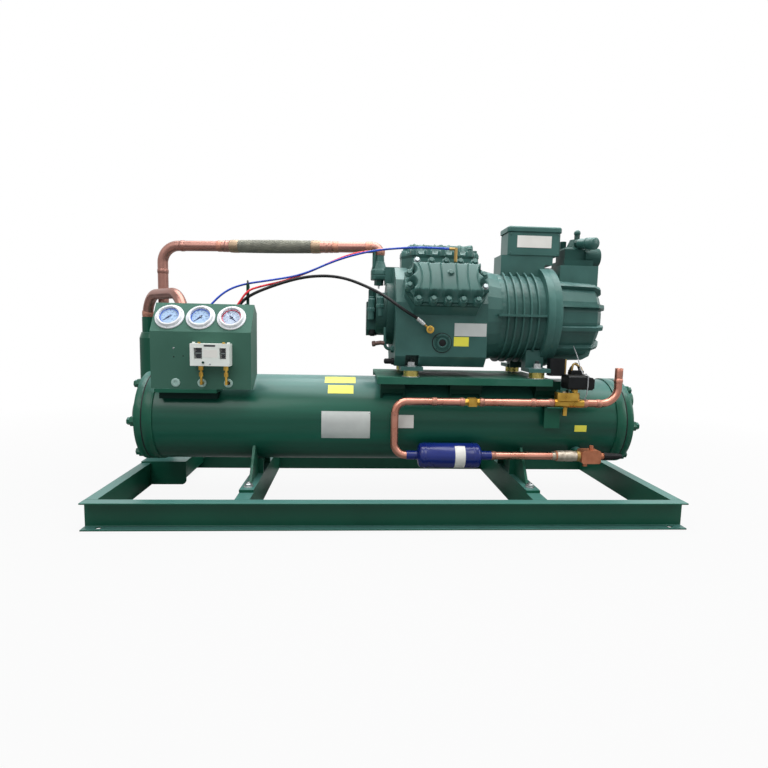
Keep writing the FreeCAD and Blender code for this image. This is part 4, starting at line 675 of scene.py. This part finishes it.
def discharge_pipes():
    piece = Piece("discharge_copper", COPPER_DULL, COPPER_WORN)
    pipe(piece, [(-42, 100, 950), HOT_TURN, HOT_CORNER, (-942, 238, 640)], [26.0, 70.0], HOT_R)
    pipe(piece, [(-1008, 238, 685), (-1008, 238, 778), (-789, 0, 778), (-789, 0, 502)], [90.0, 90.0], HOT_R)
    for along, length in ((30.0, 22.0), (168.0, 20.0), (652.0, 18.0)):
        collar(piece, HOT_TURN + HOT_ALONG * along, HOT_ALONG, HOT_R, length)
    collar(piece, HOT_CORNER - HOT_ALONG * 96.0, HOT_ALONG, HOT_R, 14.0, 0)
    collar(piece, (-942, 238, 884), DOWN, HOT_R, 14.0, 0)
    for place, length in (((-942, 238, 664), 22.0), ((-1008, 238, 710), 22.0), ((-789, 0, 528), 22.0),
                          ((-42, 100, 974), 20.0)):
        collar(piece, place, DOWN, HOT_R, length)
    piece.finish(replaces=["discharge_pipes"], angle=60.0)

    sleeve = Piece("eliminator_sleeves", COPPER_DULL, FERRULE)
    for start, way, plain in ((189.0, 1.0, PLAIN_RUN), (649.0, -1.0, 31.0)):
        at = HOT_TURN + HOT_ALONG * start
        sleeve.lathe(at, HOT_ALONG * way, [(t * plain / PLAIN_RUN, r) for t, r in SLEEVE_RINGS], 0, 40)
        sleeve.lathe(at + HOT_ALONG * way * plain, HOT_ALONG * way,
                     [(0, 23.6), (2, 25.2), (6, 25.6), (20, 26.2), (36, 26.2), (38, 25.0)], 1, 40)
    sleeve.finish(angle=50.0)

    braid = Piece("eliminator_braid", BRAID)
    start = HOT_TURN + HOT_ALONG * BRAID_START
    across = Vector(UP)
    other = HOT_ALONG.cross(across)
    rings = []
    for i in range(BRAID_STEPS + 1):
        t = BRAID_LENGTH * i / BRAID_STEPS
        ring = []
        for k in range(BRAID_SIDES):
            a = math.tau * k / BRAID_SIDES
            strand = max(math.sin(18.0 * a + t * 0.42), math.sin(18.0 * a - t * 0.42))
            r = BRAID_R + 1.3 * math.sin(math.pi * t / BRAID_LENGTH) + 0.75 * strand
            out = across * (r * math.cos(a)) + other * (r * math.sin(a))
            ring.append(braid.point(start + HOT_ALONG * t + out))
        rings.append(ring)
    braid.tube(rings)
    braid.finish(replaces=["vibration_eliminator"], angle=80.0)


def liquid_pipes():
    y = LIQUID_Y
    piece = Piece("liquid_copper", COPPER, COPPER_WORN, SOLDER)
    around = [(55, y, DRIER_Z), (10, y, DRIER_Z), (10, y, LOOP_Z), (261, y, LOOP_Z)]
    pipe(piece, around, [44.5, 44.5], LIQUID_R)
    pipe(piece, [(317, y, LOOP_Z), (591, y, LOOP_Z)], [], LIQUID_R)
    pipe(piece, [(367, y, DRIER_Z), (612, y, DRIER_Z)], [], LIQUID_R)
    pipe(piece, [(699, y, LOOP_Z), (LOOP_END_X, y, LOOP_Z), (LOOP_END_X, y, 520)], [60.0], LIQUID_R)
    piece.lathe((LOOP_END_X, y, 520), UP,
                [(0, LIQUID_R), (12.2, LIQUID_R), (13, 13.6), (13, 12.9), (12.2, 12.5), (1.0, 12.5),
                 (1.0, 1.0)], 0, PIPE_SIDES)
    for x in (145.0, 246.0, 318.0, 508.0, 574.0, 700.0, 752.0):
        collar(piece, (x, y, LOOP_Z), RIGHT, LIQUID_R, 13.0)
    for x, finish in ((367.0, 1), (596.0, 2)):
        collar(piece, (x, y, DRIER_Z), RIGHT, LIQUID_R, 14.0, finish)
    collar(piece, (LOOP_END_X, y, 480), UP, LIQUID_R, 12.0, 0)
    piece.lathe((612, y, DRIER_Z), RIGHT,
                [(0, 18.2), (1.0, 19.6), (26.0, 19.8), (28.0, 19.0), (32.0, 19.0), (34.0, 20.4), (58.0, 20.6),
                 (64.0, 19.2), (72.0, 19.2), (74.0, 18.2)], 2, 40)
    piece.finish(replaces=["liquid_pipes"], angle=60.0)

    drier = Piece("drier_shell", BLUE)
    drier.lathe((55, y, DRIER_Z), RIGHT,
                [(0, 14.6), (0, 16.2), (38, 16.2), (40, 20), (43, 34), (47, 41), (52, 44), (58, 45), (66, 45),
                 (68, 46.4), (71, 46.4), (73, 45), (238, 45), (240, 46.4), (243, 46.4), (245, 45), (254, 45),
                 (260, 44), (265, 41), (269, 34), (272, 20), (274, 16.2), (312, 16.2), (312, 14.6)], 0, 64)
    drier.finish(replaces=["filter_drier"], angle=45.0)


discharge_pipes()
liquid_pipes()


# Blank labels
LABEL_STEPS = 10


def shell_label(piece, x0, x1, low, high, finish, radius=SHELL_R, centre=(0.0, SHELL_Z), proud=0.4):
    """A bent plate on a round body, between two angles above its front."""
    skins = []
    for edge in (radius + 0.02, radius + proud):
        rows = []
        for i in range(LABEL_STEPS + 1):
            a = math.radians(low + (high - low) * i / LABEL_STEPS)
            y = centre[0] - edge * math.cos(a)
            z = centre[1] + edge * math.sin(a)
            rows.append([piece.point((x0, y, z)), piece.point((x1, y, z))])
        skins.append(rows)
    inner, outer = skins
    for i in range(LABEL_STEPS):
        piece.faces([[outer[i][0], outer[i][1], outer[i + 1][1], outer[i + 1][0]],
                     [inner[i][0], outer[i][0], outer[i + 1][0], inner[i + 1][0]],
                     [inner[i][1], inner[i + 1][1], outer[i + 1][1], outer[i][1]]], finish, False)
    piece.faces([[inner[0][0], inner[0][1], outer[0][1], outer[0][0]],
                 [inner[-1][0], outer[-1][0], outer[-1][1], inner[-1][1]]], finish, False)


def labels():
    piece = Piece("blank_labels", LABEL_YELLOW, LABEL_SILVER, LABEL_WHITE, STEEL)
    shell_label(piece, -247.0, -131.0, 60.2, 78.4, 0)
    shell_label(piece, -233.5, -139.0, 41.0, 55.4, 0)
    shell_label(piece, -254.0, -76.5, -19.5, 16.2, 1, proud=0.8)
    shell_label(piece, 13.0, 83.7, -4.7, 12.3, 2)
    shell_label(piece, 692.0, 738.0, -7.5, 1.1, 0)
    for x in (-250.5, -80.0):
        for angle in (-17.6, 14.4):
            a = math.radians(angle)
            out = Vector((0.0, -math.cos(a), math.sin(a)))
            at = Vector((x, 0.0, SHELL_Z)) + out * (SHELL_R + 0.7)
            piece.lathe(at, out, [(0, 2.2), (0.8, 2.0), (1.3, 1.0)], 3, 12)
    shell_label(piece, 227.0, 264.0, -70.0, 60.0, 2, 45.0, (LIQUID_Y, DRIER_Z), 0.3)
    piece.block((220.0, -178.7, 637.5), (337.0, -178.02, 684.0), 1)
    piece.block((219.0, -178.6, 601.0), (273.5, -178.02, 634.5), 0)
    piece.block((470.0, -64.7, 975.0), (602.0, -64.02, 1019.0), 2)
    piece.finish()


labels()


# Gauges
def slope_turn(x, up):
    """Frame on the panel's sloping face, with its Z axis out of the dial."""
    out = Vector((0.0, -math.cos(PANEL_TILT), math.sin(PANEL_TILT)))
    along = Vector((0.0, math.sin(PANEL_TILT), math.cos(PANEL_TILT)))
    turn = Matrix(((1.0, 0.0, 0.0), along, out)).transposed().to_4x4()
    return Matrix.Translation(Vector((x, PANEL_FACE_Y, PANEL_FOLD_Z)) + along * up) @ turn


def digits(words, place, size, turn, material, name):
    """Plain numbers of a dial."""
    data = bpy.data.curves.new(name, "FONT")
    data.body = words
    data.size = size
    data.align_x = "CENTER"
    data.align_y = "CENTER"
    data.resolution_u = 1
    data.extrude = 0.05
    data.materials.append(material)
    obj = bpy.data.objects.new(name, data)
    obj.matrix_world = Matrix.Scale(MM, 4) @ turn @ Matrix.Translation(place)
    bpy.context.scene.collection.objects.link(obj)
    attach(obj, "unit")


GAUGE_X = (-787.0, -680.0, -573.0)
SCALE_START = 225.0
SCALE_SWEEP = 270.0
SCALE_TICKS = 50
SCALE_NUMBERS = 6


def gauges():
    rims = Piece("gauge_bezels", WHITE, STEEL)
    dials = Piece("gauge_dials", DIAL_BLUE, DIAL_EDGE, DIAL_PALE, DIAL_RED, INK)
    for number, x in enumerate(GAUGE_X):
        turn = slope_turn(x, 60.0)
        rims.turn = turn
        dials.turn = turn
        rims.lathe((0, 0, 2.6), UP,
                   [(0, 50.4), (1.2, 50.4), (2.2, 49.6), (2.6, 48.4), (2.2, 46.6), (2.0, 43.0), (8.0, 42.2),
                    (11.2, 41.4), (12.6, 39.6), (12.9, 37.6), (12.2, 35.6), (10.0, 34.6), (1.6, 34.05)],
                   0, 72, closed=False)
        for spin in (30.0, 150.0, 270.0):
            a = math.radians(spin)
            place = (46.2 * math.cos(a), 46.2 * math.sin(a), 4.6)
            rims.lathe(place, UP, [(0, 2.6), (0.9, 2.4), (1.5, 1.3)], 1, 14)
        face, edge = (2, 3) if number == 2 else (0, 1)
        dials.lathe((0, 0, 4.0), UP, [(0, 33.9), (0.25, 33.9), (0.25, 29.5)], edge, 60, closed=False)
        dials.lathe((0, 0, 4.0), UP, [(0.02, 29.6), (0.2, 29.5), (0.22, 1.0)], face, 60)
        for i in range(SCALE_TICKS + 1):
            a = math.radians(SCALE_START - SCALE_SWEEP * i / SCALE_TICKS)
            r0, r1, w = (22.5, 28.6, 0.5) if i % 5 == 0 else (25.5, 28.2, 0.22)
            along = Vector((math.cos(a), math.sin(a), 0.0))
            side = Vector((-math.sin(a), math.cos(a), 0.0)) * w
            base = Vector((0, 0, 4.24))
            dials.prism([base + along * r0 - side, base + along * r0 + side, base + along * r1 + side,
                         base + along * r1 - side], (0, 0, 0.06), 4)
        for i in range(SCALE_NUMBERS):
            a = math.radians(SCALE_START - SCALE_SWEEP * i / (SCALE_NUMBERS - 1))
            digits(str(5 * i), (18.0 * math.cos(a), 18.0 * math.sin(a), 4.3), 6.0, turn, INK,
                   "dial_number_%d_%d" % (number, i))
    rims.finish(angle=40.0)
    dials.finish()


gauges()


# Pressure control: scale plates, bare bars and screws, and the grommets of the panel
SCALE_WINDOWS = ((-684.0, -656.0), (-598.0, -576.0))
WINDOW_MARKS = 12
MARK_PITCH = 2.7
CONTROL_FACE_Y = -234.6
GROMMET_X = (-760.0, -670.0, -579.0)
GROMMET_Z = 456.0


def pressure_control():
    piece = Piece("control_details", DARK_PLATE, LABEL_WHITE, STEEL, CREAM)
    for x0, x1 in SCALE_WINDOWS:
        piece.block((x0 + 0.5, -225.08, 543.5), (x1 - 0.5, -224.8, 580.5), 0)
        for i in range(WINDOW_MARKS):
            z = 547.0 + MARK_PITCH * i
            wide = 5.0 if i % 3 == 0 else 3.0
            for side, inner in ((1.0, x0 + 1.6), (-1.0, x1 - 1.6)):
                a, b = sorted((inner, inner + side * wide))
                piece.block((a, -225.15, z), (b, -225.0, z + 0.7), 1)
        for low, high in ((541.8, 543.4), (580.6, 582.2)):
            corners = ((x0 - 1.2, low), (x1 + 1.2, low), (x1 + 1.2, high), (x0 - 1.2, high))
            piece.prism([(x, CONTROL_FACE_Y, z) for x, z in corners], (0, 1.0, 0), 3)
    piece.block((-652.0, -234.5, 548.0), (-604.0, -233.9, 574.0), 1)
    piece.block((-650.0, -234.5, 585.0), (-612.0, -233.9, 591.0), 0)
    piece.lathe((-630.0, -234.0, 526.0), FRONT, [(0, 3.4), (1.2, 3.2), (2.0, 1.8)], 2, 16)
    for x in (-690.0, -572.0):
        piece.block((x - 5.0, -213.0, 594.9), (x + 5.0, -211.4, 600.0), 3)
    piece.finish(bevel=0.25)

    grommets = Piece("panel_grommets", GROMMET, RUBBER, STEEL)
    for x in GROMMET_X:
        at = (x, PANEL_FACE_Y, GROMMET_Z)
        grommets.lathe(at, FRONT, [(0, 15.4), (1.6, 15.2), (3.0, 13.4), (3.4, 10.0), (3.0, 7.5), (1.0, 6.6)],
                       0, 36, closed=False)
        grommets.lathe(at, FRONT, [(0.1, 7.4), (1.2, 7.0)], 0 if x == GROMMET_X[0] else 1, 24)
    for x, z, r, finish in ((-765.4, 576.3, 3.2, 2), (-764.7, 546.1, 2.6, 1), (-732.6, 549.1, 2.2, 1)):
        grommets.lathe((x, PANEL_FACE_Y, z), FRONT, [(0, r), (0.4, r * 0.9), (0.6, r * 0.4)], finish, 16)
    grommets.finish()


pressure_control()


# Compressor trim: hose crimp, banjo ring, sight glass, foot washers, terminal box screws
def compressor_trim():
    piece = Piece("compressor_trim", CAST, STEEL, RUBBER, CAST_DARK, BRASS)
    crimp = Vector((104.0, -207.5, 678.5))
    lead = (Vector(BLACK_POINTS[-1]) - crimp).normalized()
    piece.lathe(crimp, lead, [(-3.0, 7.0), (-1.0, 7.7), (3.0, 7.9), (6.0, 7.3), (12.0, 7.9), (18.0, 7.3),
                              (24.0, 7.9), (30.0, 7.8), (33.0, 6.4)], 1, 24)
    piece.lathe((127.0, -213.4, 659.0), FRONT,
                [(-5.0, 13.6), (1.4, 13.6), (2.4, 12.4), (2.4, 7.6), (0.2, 6.8)], 4, 32, closed=False)
    glass = (SIGHT_X, -178.0, SIGHT_Z)
    piece.lathe(glass, FRONT, [(0.05, 33.5), (5.0, 33.5), (7.0, 31.5), (7.0, 25.0), (5.5, 23.0), (5.5, 19.5),
                               (11.5, 18.5), (13.0, 16.5), (13.0, 13.6), (10.2, 12.6)], 0, 48, closed=False)
    # A thin black gasket ring round the rim, kept dark also as painted shade of the gap round the ring
    piece.lathe(glass, FRONT, [(0.05, 36.2), (1.4, 36.2), (1.8, 33.2)], 2, 48, closed=False)
    piece.lathe((SIGHT_X, -188.2, SIGHT_Z), FRONT, [(0, 13.2), (1.0, 9.0), (1.4, 4.0), (1.5, 0.5)], 2, 36)
    for i in range(4):
        a = math.radians(45.0 + 90.0 * i)
        piece.lathe((SIGHT_X + 29.0 * math.cos(a), -185.0, SIGHT_Z + 29.0 * math.sin(a)), FRONT,
                    [(0, 2.6), (2.0, 2.6), (2.4, 1.6)], 3, 12)
    for x, y in FEET:
        piece.lathe((x, y, 485.9), UP, [(0, 33.0), (2.6, 33.0), (3.0, 32.0)], 1, 40)
    for x in (446.0, 628.0):
        for z in (955.0, 1024.0):
            piece.lathe((x, -63.9, z), FRONT, [(0, 3.6), (1.8, 3.4), (2.6, 2.0)], 0, 16)
    piece.finish(bevel=0.3)


compressor_trim()


# Suction valve: collared cap over the spindle and a ball on the dome
BALL_R = 12.6


def suction_trim():
    piece = Piece("suction_cap_and_ball", CAST)
    piece.lathe((733.0, -81.3, 993.7), (21.0, -47.3, -6.3),
                [(-36.0, 15.4), (-36.0, 18.5), (-6.0, 18.5), (-5.0, 21.5), (2.0, 21.5), (3.0, 19.8),
                 (8.0, 19.8), (9.0, 22.0), (38.0, 22.0), (42.0, 18.0), (42.0, 0.4), (34.0, 0.4), (34.0, 12.0),
                 (0.2, 12.0), (0.2, 15.4), (-36.0, 15.4)], 0, 40, closed=False)
    arc = [math.radians(-84.0 + 14.0 * i) for i in range(13)]
    piece.lathe((727.0, 0.0, 1045.0), UP, [(BALL_R * math.sin(a), BALL_R * math.cos(a)) for a in arc], 0, 32)
    piece.finish(replaces=["suction_valve_cap"], angle=50.0)


suction_trim()


# Discharge valve: a squarish flange block drawn in to a round neck
# Its levels are (height, low x, high x, half depth, squareness)
VALVE_LEVELS = (
    (852.6, -73.0, -9.0, 32.0, 5.0), (855.0, -75.2, -7.0, 34.0, 5.0), (869.0, -75.2, -7.0, 34.0, 5.0),
    (870.0, -73.6, -8.6, 32.4, 5.0), (872.0, -73.6, -8.6, 32.4, 5.0), (873.0, -75.2, -7.0, 34.0, 5.0),
    (889.0, -75.2, -7.0, 34.0, 5.0), (891.0, -73.6, -9.0, 32.6, 4.0), (901.0, -71.6, -12.6, 30.0, 3.5),
    (911.0, -68.0, -16.4, 26.5, 3.0), (921.0, -65.0, -19.2, 24.0, 2.4), (923.0, -64.8, -19.4, 23.6, 2.2),
    (924.0, -63.0, -21.0, 22.0, 2.0), (937.0, -62.0, -22.0, 20.4, 2.0), (953.0, -61.4, -22.6, 19.6, 2.0))
VALVE_SIDES = 48
VALVE_Y = 100.0


def discharge_casting():
    piece = Piece("discharge_valve_casting", CAST)
    rings = []
    for z, low, high, deep, square in VALVE_LEVELS:
        ring = []
        for i in range(VALVE_SIDES):
            c = math.cos(math.tau * i / VALVE_SIDES)
            s = math.sin(math.tau * i / VALVE_SIDES)
            grow = (abs(c) ** square + abs(s) ** square) ** (-1.0 / square)
            x = (low + high + (high - low) * c * grow) / 2.0
            ring.append(piece.point((x, VALVE_Y + deep * s * grow, z)))
        rings.append(ring)
    piece.tube(rings)
    piece.lathe((-42.0, VALVE_Y, 831.0), UP,
                [(21.0, 8.0), (0.0, 8.0), (0.0, 17.6), (1.0, 18.5), (22.0, 18.5)], 0, 6, closed=False)
    piece.lathe((-64.0, 76.0, 900.0), UP, [(0, 6.4), (67.0, 6.4)], 0, 20)
    piece.finish(replaces=["discharge_valve"], angle=40.0)


discharge_casting()


# Oil pump caps with their small pipes, valve screws, coil leads, and the post and tie of the hoses
def small_parts():
    caps = Piece("pump_caps", CAST, BROWNED, BLACK_PLASTIC)
    for x, y, low, high in ((-76.0, -56.0, 692.0, 770.0), (-43.0, -72.0, 706.0, 777.0)):
        tall = high - low
        caps.lathe((x, y, low), UP, [(0, 13.0), (tall - 3.0, 13.0), (tall, 10.0)], 0, 32)
        caps.hexagon((x, y, low + 30.0), UP, 30.0, 14.0, 0, 0.3)
        caps.hexagon((x, y, high - 0.5), UP, 17.0, 9.0, 0, 0.5)
    caps.lathe((-70.0, -30.0, 656.0), DOWN, [(0, 16.0), (18.0, 16.0), (27.0, 8.0)], 2, 28)
    path = corner_path([(9.0, -90.0, 583.0), (-24.0, -90.0, 583.0), (-24.0, -90.0, 664.0)], [18.0])
    caps.sweep(path, 6.0, 0, 18)
    caps.hexagon((9.0, -90.0, 583.0), LEFT, 24.0, 12.0, 0, 0.2)
    caps.sweep([(-24.0, -90.0, 604.0), (-40.0, -86.0, 606.0), (-62.0, -80.0, 602.0)], 8.0, 1, 18)
    caps.hexagon((-60.0, -80.4, 602.2), (-1, 0.2, -0.15), 19.0, 12.0, 1, 0.2)
    caps.lathe((9.0, -130.0, 540.0), LEFT,
               [(0, 13.0), (10.0, 13.0), (12.0, 10.0), (34.0, 10.0), (38.0, 6.0)], 2, 28)
    caps.finish(bevel=0.8)

    screws = Piece("valve_screws", CAST_DARK, BRASS_DULL)
    for x, y in ((610.0, -214.0), (610.0, -186.0), (646.0, -217.0), (646.0, -183.0)):
        screws.hexagon((x, y, LOOP_Z + 39.6), UP, 11.0, 7.0, 0, 0.3 * x)
    screws.lathe((686.0, LIQUID_Y, DRIER_Z), RIGHT,
                 [(0, 18.3), (1.0, 19.9), (12.0, 19.9), (13.0, 18.3)], 1, 40)
    screws.finish(bevel=0.4)

    leads = Piece("coil_leads", LEAD, BLACK_PLASTIC, BRASS_DULL, RUBBER)
    leads.sweep([(688, -118, 608), (690, -150, 575), (691, -180, 535), (692, -206, 509)], 1.8, 0, 10)
    leads.sweep([(696, -205, 508), (697, -222, 512), (698, -237.5, 504), (698, -238, 470), (698, -232, 440),
                 (699, -217, 418)], 1.8, 0, 10)
    leads.block((584.0, -166.0, 498.0), (640.0, -132.0, 562.0), 1)
    leads.block((640.0, -164.5, 500.0), (646.0, -134.0, 560.0), 2)
    leads.block((664.0, -167.0, 500.0), (712.0, -138.0, 519.0), 1)
    path = corner_path([(672, -152, 516), (676, -152, 548), (706, -152, 530), (716, -152, 508)], [8.0, 10.0])
    leads.sweep(path, 4.0, 2, 12)
    path = corner_path([(704, -148, 516), (690, -148, 552), (668, -150, 528), (660, -150, 506)], [8.0, 8.0])
    leads.sweep(path, 3.4, 3, 12)
    leads.finish(bevel=1.0)

    ties = Piece("hose_ties", TIE, GREEN_DARK)
    ties.block((-539.0, -66.0, 729.0), (-529.0, -58.0, 812.0), 1)
    ties.block((-539.0, -96.0, 729.0), (-529.0, -58.0, 738.0), 1)
    ties.lathe((-537.0, -50.0, 811.0), (1, 0.05, 0.2),
               [(0, 14.0), (0.4, 15.0), (4.6, 15.0), (5.0, 14.0)], 0, 28)
    ties.finish(bevel=0.4)


small_parts()


# Floor, lamps and background
FLOOR_HALF = 60.0
FLOOR_PALE = 0.32
# Share of the floor's own light near the unit and far from it, and the distances between which it grows
FLOOR_FADE = {"From Min": 1.4, "From Max": 3.2, "To Min": 0.92, "To Max": 1.0}
SKY_COLOUR = (0.93, 0.97, 1.0, 1.0)
SKY_STRENGTH = 0.34
# Lamps as (name, place, aim, width, depth, power)
LAMPS = (("sky", (0.2, 0.2, 3.4), (0.0, 0.0, 0.3), 4.5, 3.0, 215.0),
         ("front", (-1.9, -2.9, 3.3), (0.0, 0.0, 0.5), 2.6, 2.0, 64.0),
         ("rim", (3.4, -1.2, 2.0), (0.3, 0.0, 0.5), 1.6, 1.6, 28.0))


def make_floor():
    data = bpy.data.meshes.new("floor")
    corners = [(x * FLOOR_HALF, y * FLOOR_HALF, 0) for x, y in ((-1, -1), (1, -1), (1, 1), (-1, 1))]
    data.from_pydata(corners, [], [(0, 1, 2, 3)])
    material = bpy.data.materials.new("floor_pale")
    material.use_nodes = True
    nodes = material.node_tree.nodes
    links = material.node_tree.links
    shader = nodes["Principled BSDF"]
    fill(shader, {"Base Color": (FLOOR_PALE, FLOOR_PALE, FLOOR_PALE, 1.0), "Roughness": 0.9})
    glow = nodes.new("ShaderNodeEmission")
    glow.inputs["Strength"].default_value = 1.0
    place = nodes.new("ShaderNodeNewGeometry")
    far = nodes.new("ShaderNodeVectorMath")
    far.operation = "LENGTH"
    links.new(place.outputs["Position"], far.inputs[0])
    fade = nodes.new("ShaderNodeMapRange")
    fill(fade, FLOOR_FADE)
    links.new(far.outputs["Value"], fade.inputs["Value"])
    path = nodes.new("ShaderNodeLightPath")
    share = nodes.new("ShaderNodeMath")
    share.operation = "MULTIPLY"
    links.new(fade.outputs["Result"], share.inputs[1])
    links.new(path.outputs["Is Camera Ray"], share.inputs[0])
    mix = nodes.new("ShaderNodeMixShader")
    links.new(share.outputs[0], mix.inputs["Fac"])
    links.new(shader.outputs["BSDF"], mix.inputs[1])
    links.new(glow.outputs["Emission"], mix.inputs[2])
    links.new(mix.outputs["Shader"], nodes["Material Output"].inputs["Surface"])
    data.materials.append(material)
    floor = bpy.data.objects.new("floor", data)
    bpy.context.scene.collection.objects.link(floor)


def make_world():
    world = bpy.data.worlds.new("studio")
    bpy.context.scene.world = world
    world.use_nodes = True
    nodes = world.node_tree.nodes
    links = world.node_tree.links
    soft = nodes["Background"]
    fill(soft, {"Color": SKY_COLOUR, "Strength": SKY_STRENGTH})
    bright = nodes.new("ShaderNodeBackground")
    fill(bright, {"Color": (1.0, 1.0, 1.0, 1.0), "Strength": 1.0})
    path = nodes.new("ShaderNodeLightPath")
    either = nodes.new("ShaderNodeMath")
    either.operation = "MAXIMUM"
    shiny = nodes.new("ShaderNodeMath")
    shiny.operation = "MAXIMUM"
    links.new(path.outputs["Is Glossy Ray"], shiny.inputs[0])
    links.new(path.outputs["Is Transmission Ray"], shiny.inputs[1])
    links.new(path.outputs["Is Camera Ray"], either.inputs[0])
    links.new(shiny.outputs[0], either.inputs[1])
    mix = nodes.new("ShaderNodeMixShader")
    links.new(either.outputs[0], mix.inputs["Fac"])
    links.new(soft.outputs["Background"], mix.inputs[1])
    links.new(bright.outputs["Background"], mix.inputs[2])
    links.new(mix.outputs["Shader"], nodes["World Output"].inputs["Surface"])


def make_lamps():
    for name, place, aim, width, depth, power in LAMPS:
        data = bpy.data.lights.new(name, "AREA")
        data.shape = "RECTANGLE"
        data.size = width
        data.size_y = depth
        data.energy = power
        lamp = bpy.data.objects.new(name, data)
        lamp.location = place
        lamp.rotation_euler = (Vector(aim) - Vector(place)).to_track_quat("-Z", "Y").to_euler()
        bpy.context.scene.collection.objects.link(lamp)


make_floor()
make_world()
make_lamps()
bpy.context.scene.view_settings.view_transform = "Standard"
